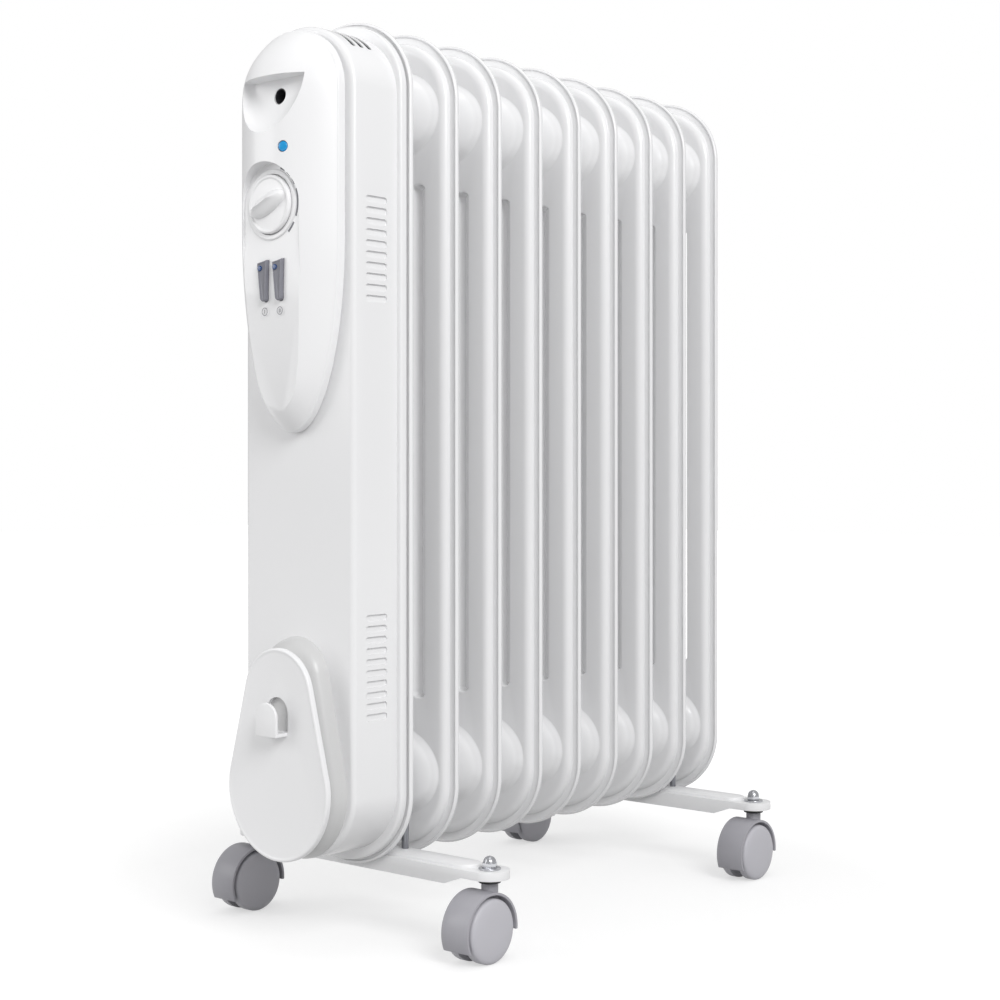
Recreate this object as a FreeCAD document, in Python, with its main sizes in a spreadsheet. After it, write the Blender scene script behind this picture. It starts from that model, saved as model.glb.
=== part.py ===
"""Oil filled radiator heater: nine oil sections, control housing, foot bars and swivel casters.

Frame: millimetres, +Z up, floor at Z = 0, front (controls) towards -Y, X = 0 the plane of symmetry.
The origin is the middle of the footprint.
"""
import FreeCAD
import Part
import Sketcher
import math
import os
import re

VECTOR = FreeCAD.Vector
DOC = FreeCAD.newDocument("oil_radiator")

# ---------------------------------------------------------------- driving dimensions
SIZES = {
    # oil sections
    "section_count": 9,
    "section_pitch": 46,
    "section_half": 60,
    "section_low": 51,
    "section_high": 631,
    "section_side_round": 50,
    "section_rise": 53.5,
    "bead_width": 2.5,
    "bead_thick": 3.6,
    "flange_thick": 1.8,
    "flange_width": 6.8,
    "tank_thick": 12,
    "tank_round": 5,
    "tank_sheet": 0.8,
    "slot_width": 12,
    "slot_middle": 28.5,
    "slot_start": 52.5,
    "slot_end": 52,
    # header bosses and their bores
    "header_inset": 60,
    "dome_wide": 48.2,
    "dome_deep": 20,
    "dome_tall": 32.5,
    "neck_radius": 29,
    "bore_radius": 14,
    "plug_head": 4,
    "plug_flange_radius": 18,
    "plug_reach": 9,
    "filler_across": 22,
    # heat shield
    "shield_gap": 0.4,
    "shield_sheet": 1,
    "shield_margin": 3.5,
    "shield_skirt": 4.4,
    # control housing
    "housing_depth": 40.6,
    "housing_half": 52.5,
    "housing_foot": 10.5,
    "housing_crown": 11,
    "housing_side_round": 42,
    "housing_rise": 46,
    "housing_wall": 2.2,
    "housing_edge": 3.6,
    "vent_length": 20,
    "vent_height": 4.5,
    "vent_middle": 19.2,
    "vent_pitch": 7.3,
    "vent_count": 10,
    "vent_drop": 184.5,
    "vent_rise": 97,
    "slit_width": 2.2,
    "slit_pitch": 7.7,
    "slit_count": 3,
    "slit_near": 17,
    "slit_far": 40,
    "slit_drop": 32,
    "window_half": 22,
    "window_below": 10,
    "window_above": 22,
    # control panel
    "panel_margin": 4.5,
    "panel_side_margin": 6.5,
    "panel_length": 266.5,
    "panel_rim": 7.6,
    "panel_wall": 2.5,
    "panel_side_share": 0.78,
    "panel_rise_share": 0.865,
    "tip_rise_share": 0.473,
    "tip_side_share": 2,
    "shoulder_depth": 18,
    "shoulder_side": 3.5,
    "shoulder_low": 8,
    "shoulder_high": 3.5,
    "belly_depth": 26,
    "belly_side": 11,
    "belly_low": 56,
    "belly_high": 9.5,
    "brow_depth": 30,
    "brow_side": 21,
    "brow_low": 156,
    "brow_high": 18,
    "bulge_depth": 33,
    "bulge_side": 34,
    "bulge_low": 196,
    "bulge_high": 35,
    "cavity_side": 9,
    "cavity_low": 30,
    "cavity_high": 9,
    "strip_depth": 24,
    "strip_half": 27,
    "strip_rise": 28,
    "recess_sink": 33.5,
    "recess_half": 30,
    "recess_drop": 34,
    "recess_depth": 20,
    "screw_x": 6.5,
    "screw_drop": 11,
    "screw_radius": 1.8,
    "screw_head": 3.6,
    "screw_head_thick": 2.2,
    # lamp
    "lamp_x": 17,
    "lamp_rise": 36,
    "lamp_radius": 3.7,
    "lamp_front": 32.6,
    "lamp_holder_radius": 6,
    "lamp_holder_length": 12,
    # thermostat
    "knob_drop": 117.5,
    "knob_radius": 19.5,
    "knob_rim": 2.5,
    "knob_floor": 3,
    "knob_side": 10.5,
    "knob_height": 14,
    "knob_turn": 45,
    "knob_gap": 0.3,
    "grip_half": 5,
    "shaft_radius": 3,
    "thermostat_half": 13,
    "thermostat_front_gap": 4,
    # rocker switches
    "rocker_spacing": 14.5,
    "rocker_half": 5.75,
    "rocker_foot": 3.85,
    "rocker_drop": 36.5,
    "rocker_length": 27.5,
    "rocker_proud": 3,
    "rocker_thick": 6.5,
    "rocker_hub": 3,
    "rocker_hub_sink": 1,
    "rocker_hub_inset": 0.5,
    "rocker_gap": 0.5,
    "rocker_travel_gap": 1.5,
    "switch_half": 6.4,
    "switch_depth": 17,
    # cord spool
    "spool_height": 149.2,
    "spool_half": 46.5,
    "spool_top_round": 30,
    "spool_base": 3.5,
    "waist_top_inset": 20.7,
    "waist_low_inset": 22.5,
    "waist_top_round": 16,
    "waist_low_round": 30,
    "plate_face": 19.8,
    "plate_thick": 3.5,
    "plate_top_inset": 6.7,
    "plate_low_inset": 0.7,
    "plate_top_round": 32,
    "plate_low_round": 47.8,
    "clip_half": 10.6,
    "clip_sink": 32.4,
    "clip_height": 22.6,
    "clip_reach": 10,
    "clip_drop": 3,
    "clip_thick": 2.6,
    "clip_side_gap": 0.6,
    # foot bars
    "stem_x": 112.65,
    "foot_offset": 4.7,
    "foot_hole": 2.65,
    "foot_half": 13.5,
    "foot_top": 59,
    "foot_low": 47.8,
    "foot_rim": 53.4,
    "foot_sheet": 1.5,
    "foot_slope_start": 84,
    "foot_slope_end": 99,
    "rib_height": 0.8,
    "rib_half": 5,
    "rib_end": 98,
    # U-bolts
    "ubolt_rod": 2.5,
    "ubolt_gap": 0.2,
    "ubolt_end": 50,
    "nut_half": 5,
    "nut_height": 5,
    # casters
    "wheel_radius": 21.3,
    "wheel_trail": 10,
    "tread_inner": 4.6,
    "tread_width": 6.5,
    "wheel_half": 13.6,
    "disc_crown": 19.8,
    "axle_radius": 2.5,
    "axle_gap": 0.05,
    "axle_half": 12.2,
    "axle_end_gap": 0.2,
    "hood_half": 11.3,
    "hood_gap": 2.3,
    "hood_wall": 1.7,
    "hood_web": 4.1,
    "hood_hub": 8,
    "hood_front_drop": 11,
    "hood_rear_drop": 2.4,
    "hood_neck": 5.65,
    "hood_neck_top": 50.4,
    "kingpin_radius": 2.6,
    "kingpin_gap": 0.05,
    "kingpin_low": 30,
    "collar_radius": 7.6,
    "swivel_gap": 0.1,
    "washer_radius": 7.5,
    "washer_thick": 1.2,
    "dome_nut_radius": 5.2,
    "dome_nut_top": 67.9,
    "dome_nut_wall": 1.6,
    "dome_nut_hexagon": 3.4,
    # heating element and what is inside the housing
    "element_rod": 3.25,
    "element_half": 6.5,
    "element_tier": 5,
    "element_length": 340,
    "element_flange_radius": 24,
    "element_flange_thick": 5,
    "element_spigot": 13.8,
    "element_spigot_length": 8,
    "terminal_radius": 2,
    "terminal_length": 9,
    "cutout_radius": 9,
    "cutout_thick": 6,
    "cutout_rise": 200.5,
    "block_half": 17,
    "block_depth": 14,
    "block_height": 18,
    "block_rise": 160.5,
    "tilt_half": 13,
    "tilt_depth": 16,
    "tilt_height": 32,
    "tilt_wall": 1.6,
    "tilt_rise": 256.5,
    "tilt_pin": 1.5,
    "tilt_pin_drop": 6,
    "tilt_bob": 5,
    "tilt_arm": 15,
    "running_gap": 0.05,
    "cut_over": 1,
    "inlet_length": 6,
    "gland_rise": 58.5,
    "gland_depth": 20,
    "gland_radius": 7,
    "gland_flange": 10,
    "gland_length": 8,
    "gland_bore": 3.4,
}

# Formulas of the driving dimensions, by the name of what they place.
FORMULAS = {
    "front_reach": "shield_gap+tank_thick/2+shield_sheet+housing_depth+strip_depth+knob_height",
    "rear_reach": "section_pitch*(section_count-0.5)+plug_head",
    "first_y": "(front_reach-rear_reach)/2",
    "last_y": "first_y+section_pitch*(section_count-1)",
    "front_neck_y": "first_y-section_pitch/2",
    "rear_neck_y": "last_y+section_pitch/2",
    "shield_back_y": "first_y-tank_thick/2-shield_gap",
    "shield_front_y": "shield_back_y-shield_sheet",
    "face_y": "shield_front_y-housing_depth",
    "strip_y": "face_y-strip_depth",
    "header_low": "section_low+header_inset",
    "header_high": "section_high-header_inset",
    "slot_low": "header_low+slot_start",
    "slot_high": "header_high-slot_end",
    "housing_low": "section_low+housing_foot",
    "housing_high": "section_high-housing_crown",
    "vent_upper": "housing_high-vent_drop",
    "vent_lower": "housing_low+vent_rise",
    "panel_half": "housing_half-panel_side_margin",
    "panel_high": "housing_high-panel_margin",
    "panel_tip": "panel_high-panel_length",
    "strip_low": "panel_tip+strip_rise",
    "recess_top": "panel_high-recess_sink",
    "screw_z": "recess_top-screw_drop",
    "knob_z": "panel_high-knob_drop",
    "lamp_z": "knob_z+lamp_rise",
    "rocker_high": "knob_z-rocker_drop",
    "rocker_low": "rocker_high-rocker_length",
    "window_low": "rocker_low-window_below",
    "window_high": "knob_z+window_above",
    "spool_low": "housing_low",
    "spool_high": "spool_low+spool_height",
    "waist_top": "spool_high-waist_top_inset",
    "waist_low": "spool_low+waist_low_inset",
    "plate_high": "spool_high-plate_top_inset",
    "plate_low": "spool_low+plate_low_inset",
    "clip_high": "plate_high-clip_sink",
    "clip_low": "clip_high-clip_height",
    "cutout_z": "housing_low+cutout_rise",
    "block_z": "housing_low+block_rise",
    "tilt_z": "housing_low+tilt_rise",
    "gland_z": "housing_low+gland_rise",
    "panel_cavity": "strip_depth-panel_wall",
    "lamp_seat": "recess_depth-panel_wall",
    "switch_front": "strip_depth+rocker_proud-rocker_thick-rocker_travel_gap",
    "hub_depth": "strip_depth+rocker_proud-rocker_thick-rocker_hub_sink",
    "rocker_middle": "(rocker_low+rocker_high)/2",
    "wheel_z": "wheel_radius",
    "hood_radius": "wheel_radius+hood_gap+hood_wall",
    "foot_front_y": "first_y+section_pitch/2-foot_offset",
    "foot_rear_y": "last_y-section_pitch/2-foot_offset",
    "ubolt_x": "neck_radius+ubolt_gap+ubolt_rod",
    "tread_outer": "tread_inner+tread_width",
}

SHEET = DOC.addObject("Spreadsheet::Sheet", "sizes")
for row, (alias, value) in enumerate(SIZES.items(), start=1):
    SHEET.set(f"A{row}", alias)
    SHEET.set(f"B{row}", str(value))
    SHEET.setAlias(f"B{row}", alias)
DOC.recompute()

PIECES = []
AXES = {
    "x": FreeCAD.Rotation(VECTOR(0, 1, 0), 90),
    "y": FreeCAD.Rotation(VECTOR(1, 0, 0), -90),
    "z": FreeCAD.Rotation(),
    "z turned": FreeCAD.Rotation(VECTOR(0, 0, 1), 180),
}


# ---------------------------------------------------------------- formulas, placement, sketch helpers
def spelled(formula):
    """The formula with named formulas opened and every size prefixed with its sheet."""
    def word(match):
        name = match.group(0)
        if name in FORMULAS:
            return "(" + spelled(FORMULAS[name]) + ")"
        return "sizes." + name if name in SIZES else name
    return re.sub(r"[a-z_]\w*", word, str(formula))


def number(formula):
    """The present value of a formula."""
    return float(SHEET.evalExpression(spelled(formula)))


def bind(item, prop, formula):
    item.setExpression(prop, spelled(formula))


def place(item, x="0", y="0", z="0", axis="z"):
    """Bind the place of an object; its axis is one of the frame's, or Z with the front turned back."""
    item.Placement = FreeCAD.Placement(VECTOR(number(x), number(y), number(z)), AXES[axis])
    for name, formula in (("x", x), ("y", y), ("z", z)):
        bind(item, f".Placement.Base.{name}", formula)


def new_body(label, y="0", x="0", z="0", piece=True):
    body = DOC.addObject("PartDesign::Body", label)
    body.Label = label
    place(body, x, y, z)
    if piece:
        PIECES.append(body)
    return body


def new_sketch(body, name, depth="0", plane="XZ_Plane"):
    """A sketch on an origin plane; on XZ its depth counts towards the front."""
    sketch = body.newObject("Sketcher::SketchObject", f"{body.Name}_{name}")
    origin = next(item for item in body.Origin.OriginFeatures if item.Role == plane)
    sketch.AttachmentSupport = [(origin, "")]
    sketch.MapMode = "FlatFace"
    bind(sketch, ".AttachmentOffset.Base.z", depth)
    return sketch


def dimension(sketch, kind, places, formula):
    """A driving dimension of the sketch, bound to its formula."""
    index = sketch.addConstraint(Sketcher.Constraint(kind, *places, number(formula)))
    sketch.setExpression(f"Constraints[{index}]", spelled(formula))


def fix_point(sketch, geometry, vertex, x, z):
    dimension(sketch, "DistanceX", (-1, 1, geometry, vertex), x)
    dimension(sketch, "DistanceY", (-1, 1, geometry, vertex), z)


def draw_circle(sketch, x, z, radius):
    centre = VECTOR(number(x), number(z), 0)
    index = sketch.addGeometry(Part.Circle(centre, VECTOR(0, 0, 1), number(radius)))
    fix_point(sketch, index, 3, x, z)
    dimension(sketch, "Radius", (index,), radius)


def draw_polygon(sketch, corners):
    """A closed outline of straight lines through corners given as formulas."""
    points = [VECTOR(number(x), number(z), 0) for x, z in corners]
    first = None
    for index, (start, end) in enumerate(zip(points, points[1:] + points[:1])):
        line = sketch.addGeometry(Part.LineSegment(start, end))
        first = line if first is None else first
        fix_point(sketch, line, 1, *corners[index])
        if index:
            sketch.addConstraint(Sketcher.Constraint("Coincident", line - 1, 2, line, 1))
    sketch.addConstraint(Sketcher.Constraint("Coincident", first + len(points) - 1, 2, first, 1))


def draw_box(sketch, x_low, x_high, z_low, z_high):
    draw_polygon(sketch, [(x_low, z_low), (x_high, z_low), (x_high, z_high), (x_low, z_high)])


def draw_hull(sketch, lower, upper):
    """Two circles of one vertical line, (x, z, radius) each, joined by their outer tangents."""
    x = number(lower[0])
    z_low, r_low = number(lower[1]), number(lower[2])
    z_high, r_high = number(upper[1]), number(upper[2])
    lean = math.asin((r_low - r_high) / (z_high - z_low))
    ends = []
    for z, radius in ((z_low, r_low), (z_high, r_high)):
        reach = VECTOR(radius * math.cos(lean), radius * math.sin(lean), 0)
        ends.append((VECTOR(x + reach.x, z + reach.y, 0), VECTOR(x - reach.x, z + reach.y, 0)))
    normal = VECTOR(0, 0, 1)
    top_circle = Part.Circle(VECTOR(x, z_high, 0), normal, r_high)
    low_circle = Part.Circle(VECTOR(x, z_low, 0), normal, r_low)
    top = sketch.addGeometry(Part.ArcOfCircle(top_circle, lean, math.pi - lean))
    left = sketch.addGeometry(Part.LineSegment(ends[1][1], ends[0][1]))
    low = sketch.addGeometry(Part.ArcOfCircle(low_circle, math.pi - lean, 2 * math.pi + lean))
    right = sketch.addGeometry(Part.LineSegment(ends[0][0], ends[1][0]))
    for first, second in ((top, left), (left, low), (low, right), (right, top)):
        sketch.addConstraint(Sketcher.Constraint("Tangent", first, 2, second, 1))
    for arc, (place_x, place_z, radius) in ((top, upper), (low, lower)):
        fix_point(sketch, arc, 3, place_x, place_z)
        dimension(sketch, "Radius", (arc,), radius)


def crown_radius(half, side, rise):
    """Radius of the middle arc of a three-centre arch."""
    return f"(({half})^2-2*({half})*({side})+({rise})^2)/(2*(({rise})-({side})))"


def draw_arched(sketch, half, low, high, top, bottom, inset="0"):
    """A closed outline with a three-centre arch above and below.

    top and bottom are (side radius, rise) of the arches of the outline before the inset.
    """
    normal = VECTOR(0, 0, 1)
    arcs = []
    for sign, end, (side, rise) in ((1, high, top), (-1, low, bottom)):
        crown = crown_radius(half, side, rise)
        crown_z = f"({end})-({sign})*({crown})"
        side_z = f"({end})-({sign})*({rise})"
        side_x = f"({half})-({side})"
        turn = math.atan2(abs(number(f"{crown}-({rise})")), abs(number(side_x)))
        first = 0 if sign > 0 else math.pi
        spans = ((first, first + turn), (first + turn, first + math.pi - turn),
                 (first + math.pi - turn, first + math.pi))
        shapes = ((f"({sign})*({side_x})", side_z, side), ("0", crown_z, crown),
                  (f"-({sign})*({side_x})", side_z, side))
        for (start, stop), (x, z, radius) in zip(spans, shapes):
            centre = VECTOR(number(x), number(z), 0)
            circle = Part.Circle(centre, normal, number(f"({radius})-({inset})"))
            arcs.append((Part.ArcOfCircle(circle, start, stop), x, z, f"({radius})-({inset})"))
    indices = []
    for position, (arc, x, z, radius) in enumerate(arcs):
        if position == 3:
            indices.append(sketch.addGeometry(Part.LineSegment(arcs[2][0].EndPoint, arc.StartPoint)))
        index = sketch.addGeometry(arc)
        indices.append(index)
        if position not in (1, 4):
            fix_point(sketch, index, 3, x, z)
        dimension(sketch, "Radius", (index,), radius)
    indices.append(sketch.addGeometry(Part.LineSegment(arcs[5][0].EndPoint, arcs[0][0].StartPoint)))
    for first, second in zip(indices, indices[1:] + indices[:1]):
        sketch.addConstraint(Sketcher.Constraint("Tangent", first, 2, second, 1))


def draw_slot(sketch, x, low, high, width):
    """An upright slot with round ends, from low to high."""
    radius = f"({width})/2"
    draw_hull(sketch, (x, f"({low})+({radius})", radius), (x, f"({high})-({radius})", radius))


def add_pad(body, sketch, length, middle=False, back=False):
    """Pad towards the front, towards the back, or both ways from the sketch."""
    pad = body.newObject("PartDesign::Pad", f"{sketch.Name}_pad")
    pad.Profile = sketch
    pad.SideType = "Symmetric" if middle else "One side"
    pad.Reversed = back
    bind(pad, "Length", length)
    sketch.Visibility = False
    return pad


def add_pocket(body, sketch, length, middle=False, front=False):
    """Cut towards the back, towards the front, or both ways; the volume has to go down."""
    DOC.recompute()
    before = body.Shape.Volume
    pocket = body.newObject("PartDesign::Pocket", f"{sketch.Name}_pocket")
    pocket.Profile = sketch
    pocket.SideType = "Symmetric" if middle else "One side"
    pocket.Reversed = front
    bind(pocket, "Length", length)
    sketch.Visibility = False
    DOC.recompute()
    if body.Shape.Volume >= before:
        raise RuntimeError(f"{pocket.Name} cuts nothing")
    return pocket


def edges_where(feature, test):
    """Names of the edges whose middle point and direction pass the test."""
    names = []
    for index, edge in enumerate(feature.Shape.Edges, start=1):
        middle = edge.valueAt((edge.FirstParameter + edge.LastParameter) / 2)
        if test(edge, middle):
            names.append(f"Edge{index}")
    return names


def add_fillet(body, base, names, radius):
    fillet = body.newObject("PartDesign::Fillet", f"{base.Name}_fillet")
    fillet.Base = (base, names)
    bind(fillet, "Radius", radius)
    return fillet


def primitive(kind, name, sizes, x="0", y="0", z="0", axis="z", owner=None):
    """A Part primitive of the document, or a PartDesign primitive of its owner body."""
    if owner is None:
        item = DOC.addObject(kind, name)
    else:
        item = owner.newObject(kind, f"{owner.Name}_{name}")
    for prop, formula in sizes.items():
        bind(item, prop, formula)
    place(item, x, y, z, axis)
    return item


def cylinder(name, radius, height, x="0", y="0", z="0", axis="z"):
    return primitive("Part::Cylinder", name, {"Radius": radius, "Height": height}, x, y, z, axis)


def block(name, size, x="0", y="0", z="0"):
    """A box from its low corner."""
    names = ("Length", "Width", "Height")
    return primitive("Part::Box", name, dict(zip(names, size)), x, y, z)


def hexagon(name, half, height, x, y, z, axis="z"):
    sizes = {"Circumradius": half, "Height": height}
    item = primitive("Part::Prism", name, sizes, x, y, z, axis)
    item.Polygon = 6
    return item


def fuse(name, shapes, piece=False):
    item = DOC.addObject("Part::MultiFuse", name)
    item.Shapes = shapes
    item.Refine = True
    return finish(item, name) if piece else item


def cut(name, base, tools, piece=True):
    item = DOC.addObject("Part::Cut", name)
    item.Base = base
    item.Tool = tools[0] if len(tools) == 1 else fuse(f"{name}_tools", tools)
    item.Refine = True
    return finish(item, name) if piece else item


def group(name, shapes):
    """Separate solids that share one node."""
    item = DOC.addObject("Part::Compound", name)
    item.Links = shapes
    return finish(item, name)


def finish(item, label):
    item.Label = label
    PIECES.append(item)
    return item


def clone_body(source, label, y="0", x="0", z="0", axis="z", piece=True):
    """A body that repeats the source body at its own place."""
    body = DOC.addObject("PartDesign::Body", label)
    body.Label = label
    base = DOC.addObject("PartDesign::FeatureBase", f"{label}_base")
    body.Group = [base]
    base.BaseFeature = source
    body.Tip = base
    place(body, x, y, z, axis)
    if piece:
        PIECES.append(body)
    return body


# ---------------------------------------------------------------- oil sections
def section_outline(body, name, insets, hole_slots=False):
    """The outline of a section, inset; a second inset makes it a ring."""
    sketch = new_sketch(body, name)
    arches = ("section_side_round", "section_rise")
    for inset in insets:
        draw_arched(sketch, "section_half", "section_low", "section_high", arches, arches, inset)
    if hole_slots:
        air_slots(sketch, "slot_width+2*tank_sheet")
    return sketch


def air_slots(sketch, width):
    extra = f"(({width})-slot_width)/2"
    for side in ("-slot_middle", "slot_middle"):
        draw_slot(sketch, side, f"slot_low-({extra})", f"slot_high+({extra})", width)


def radiator_section():
    """Two pressed sheets welded round the rim, hollow inside, with sleeved air slots."""
    body = new_body("radiator_section_1", y="first_y")
    add_pad(body, section_outline(body, "rim", ("0", "bead_width")), "bead_thick", middle=True)
    add_pad(body, section_outline(body, "flange", ("bead_width/2",)), "flange_thick", middle=True)
    tank = add_pad(body, section_outline(body, "tank", ("flange_width",)), "tank_thick", middle=True)
    DOC.recompute()
    face = number("tank_thick/2")
    reach = number("section_half-flange_width")
    names = edges_where(tank, lambda edge, middle: abs(abs(middle.y) - face) < 0.01
                        and abs(middle.x) <= reach + 0.01)
    add_fillet(body, tank, names, "tank_round")
    cavity = section_outline(body, "cavity", ("flange_width+tank_round",), hole_slots=True)
    add_pocket(body, cavity, "tank_thick-2*tank_sheet", middle=True)
    for name, z in (("low", "header_low"), ("high", "header_high")):
        bore = {"Radius": "bore_radius", "Height": "tank_thick"}
        primitive("PartDesign::SubtractiveCylinder", f"bore_{name}", bore,
                  y="-tank_thick/2", z=z, axis="y", owner=body)
    slots = new_sketch(body, "slots")
    air_slots(slots, "slot_width")
    add_pocket(body, slots, "tank_thick", middle=True)
    return body


def oil_sections():
    first = radiator_section()
    for index in range(1, int(number("section_count"))):
        clone_body(first, f"radiator_section_{index + 1}", y=f"first_y+section_pitch*{index}")


def header_dome():
    """Half of a header joint: a dome on a section's face and a neck up to the weld, hollow inside."""
    body = new_body("dome_1_low_front", y="first_y", z="header_low", piece=False)
    for kind, sheet in (("Additive", "0"), ("Subtractive", "tank_sheet")):
        semis = {"Radius1": f"dome_tall-({sheet})", "Radius2": f"dome_wide-({sheet})",
                 "Radius3": f"dome_deep-({sheet})"}
        primitive(f"PartDesign::{kind}Ellipsoid", f"dome_{kind}", semis, owner=body)
        neck = {"Radius": f"neck_radius-({sheet})", "Height": f"section_pitch/2-({sheet})"}
        primitive(f"PartDesign::{kind}Cylinder", f"neck_{kind}", neck,
                  y=f"-section_pitch/2+({sheet})", axis="y", owner=body)
    bore = {"Radius": "bore_radius", "Height": "section_pitch/2"}
    primitive("PartDesign::SubtractiveCylinder", "bore", bore, y="-section_pitch/2", axis="y", owner=body)
    space = {"Length": "2*dome_wide", "Width": "2*dome_deep", "Height": "2*dome_tall"}
    primitive("PartDesign::SubtractiveBox", "section_space", space, x="-dome_wide", y="-tank_thick/2",
              z="-dome_tall", owner=body)
    return body


def header_domes():
    """The four domes of every section, welded neck to neck between the sections."""
    first = header_dome()
    domes = [first]
    for index in range(int(number("section_count"))):
        for height, z in (("low", "header_low"), ("high", "header_high")):
            for side, axis in (("front", "z"), ("rear", "z turned")):
                label = f"dome_{index + 1}_{height}_{side}"
                if label != first.Label:
                    domes.append(clone_body(first, label, y=f"first_y+section_pitch*{index}", z=z,
                                            axis=axis, piece=False))
    group("header_domes", domes)


def header_plugs():
    """Round blanks in the upper header ends and a hexagon oil filler plug at the rear."""
    plugs = []
    for name, seat, sign in (("front", "front_neck_y", "-1"), ("rear", "rear_neck_y", "1")):
        start = f"{seat}-plug_head" if name == "front" else seat
        reach = seat if name == "front" else f"{seat}-plug_reach"
        head = cylinder(f"blank_head_{name}", "plug_flange_radius", "plug_head", "0", start,
                        "header_high", "y")
        spigot = cylinder(f"blank_spigot_{name}", "element_spigot", "plug_reach", "0", reach,
                          "header_high", "y")
        plugs.append(fuse(f"blank_{name}", [head, spigot]))
    flange = cylinder("filler_flange", "plug_flange_radius", "plug_head/2", "0", "rear_neck_y",
                      "header_low", "y")
    head = hexagon("filler_hexagon", "filler_across/2", "plug_head/2", "0",
                   "rear_neck_y+plug_head/2", "header_low", "y")
    spigot = cylinder("filler_spigot", "element_spigot", "plug_reach", "0",
                      "rear_neck_y-plug_reach", "header_low", "y")
    plugs.append(fuse("oil_filler_plug", [flange, head, spigot]))
    group("header_plugs", plugs)


# ---------------------------------------------------------------- housing
def heat_shield():
    """Tray over the front of the first section, cut away round its header domes."""
    body = new_body("heat_shield", y="shield_back_y")
    add_pad(body, section_outline(body, "plate", ("shield_margin",)), "shield_sheet")
    skirt = section_outline(body, "skirt", ("shield_margin", "shield_margin+shield_sheet"))
    add_pad(body, skirt, "shield_skirt", back=True)
    for name, z in (("low", "header_low"), ("high", "header_high")):
        semis = {"Radius1": "dome_tall+shield_gap", "Radius2": "dome_wide+shield_gap",
                 "Radius3": "dome_deep+shield_gap"}
        primitive("PartDesign::SubtractiveEllipsoid", f"clear_{name}", semis,
                  y="tank_thick/2+shield_gap", z=z, owner=body)


def housing_outline(body, name, inset, depth="0"):
    sketch = new_sketch(body, name, depth)
    arches = ("housing_side_round", "housing_rise")
    draw_arched(sketch, "housing_half", "housing_low", "housing_high", arches, arches, inset)
    return sketch


def side_vents(body, name, lowest):
    """A row of lying slots through both side walls."""
    sketch = new_sketch(body, name, plane="YZ_Plane")
    sketch.AttachmentOffset = FreeCAD.Placement(VECTOR(), FreeCAD.Rotation(VECTOR(0, 0, 1), 90))
    draw_slot(sketch, f"{lowest}+vent_height/2", "vent_middle-vent_length/2",
              "vent_middle+vent_length/2", "vent_height")
    pocket = add_pocket(body, sketch, "2*(housing_half+cut_over)", middle=True)
    pattern = body.newObject("PartDesign::LinearPattern", f"{body.Name}_{name}_row")
    pattern.Originals = [pocket]
    axis = next(item for item in body.Origin.OriginFeatures if item.Role == "Z_Axis")
    pattern.Direction = (axis, [""])
    bind(pattern, "Length", "vent_pitch*(vent_count-1)")
    bind(pattern, "Occurrences", "vent_count")
    body.Tip = pattern


def housing_shell():
    """One deep-drawn cover, open at the back, vented at the sides and over the top shoulders."""
    body = new_body("housing_shell", y="shield_front_y")
    shell = add_pad(body, housing_outline(body, "outline", "0"), "housing_depth")
    DOC.recompute()
    face = number("housing_depth")
    front = edges_where(shell, lambda edge, middle: abs(middle.y + face) < 0.01)
    add_fillet(body, shell, front, "housing_edge")
    cavity = housing_outline(body, "cavity", "housing_wall")
    add_pocket(body, cavity, "housing_depth-housing_wall", front=True)
    side_vents(body, "upper_vents", "vent_upper")
    side_vents(body, "lower_vents", "vent_lower")
    slits = new_sketch(body, "slits", "housing_high", "XY_Plane")
    for index in range(int(number("slit_count"))):
        middle = f"-(housing_depth/2)+slit_pitch*({index}-(slit_count-1)/2)"
        for low, high in (("slit_near", "slit_far"), ("-slit_far", "-slit_near")):
            draw_box(slits, low, high, f"{middle}-slit_width/2", f"{middle}+slit_width/2")
    add_pocket(body, slits, "slit_drop")
    window = new_sketch(body, "window", "housing_depth")
    draw_box(window, "-window_half", "window_half", "window_low", "window_high")
    draw_circle(window, "screw_x", "screw_z", "screw_radius")
    draw_circle(window, "lamp_x", "lamp_z", "lamp_holder_radius+cut_over")
    add_pocket(body, window, "housing_wall+cut_over")
    inlet = {"Radius": "gland_radius", "Height": "inlet_length"}
    primitive("PartDesign::SubtractiveCylinder", "inlet", inlet, x="-housing_half-cut_over",
              y="-gland_depth", z="gland_z", axis="x", owner=body)


def panel_contour(body, name, depth, side, low, high):
    """An outline of the shield shape, drawn in from its rim by side, low and high."""
    sketch = new_sketch(body, name, depth)
    half = f"panel_half-({side})"
    bottom = f"panel_tip+({low})"
    top = f"panel_high-({high})"
    upper = (f"({half})*panel_side_share", f"({half})*panel_rise_share")
    tip = f"({top}-({bottom}))*tip_rise_share"
    draw_arched(sketch, half, bottom, top, upper, (f"({tip})*tip_side_share", tip))
    return sketch


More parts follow.
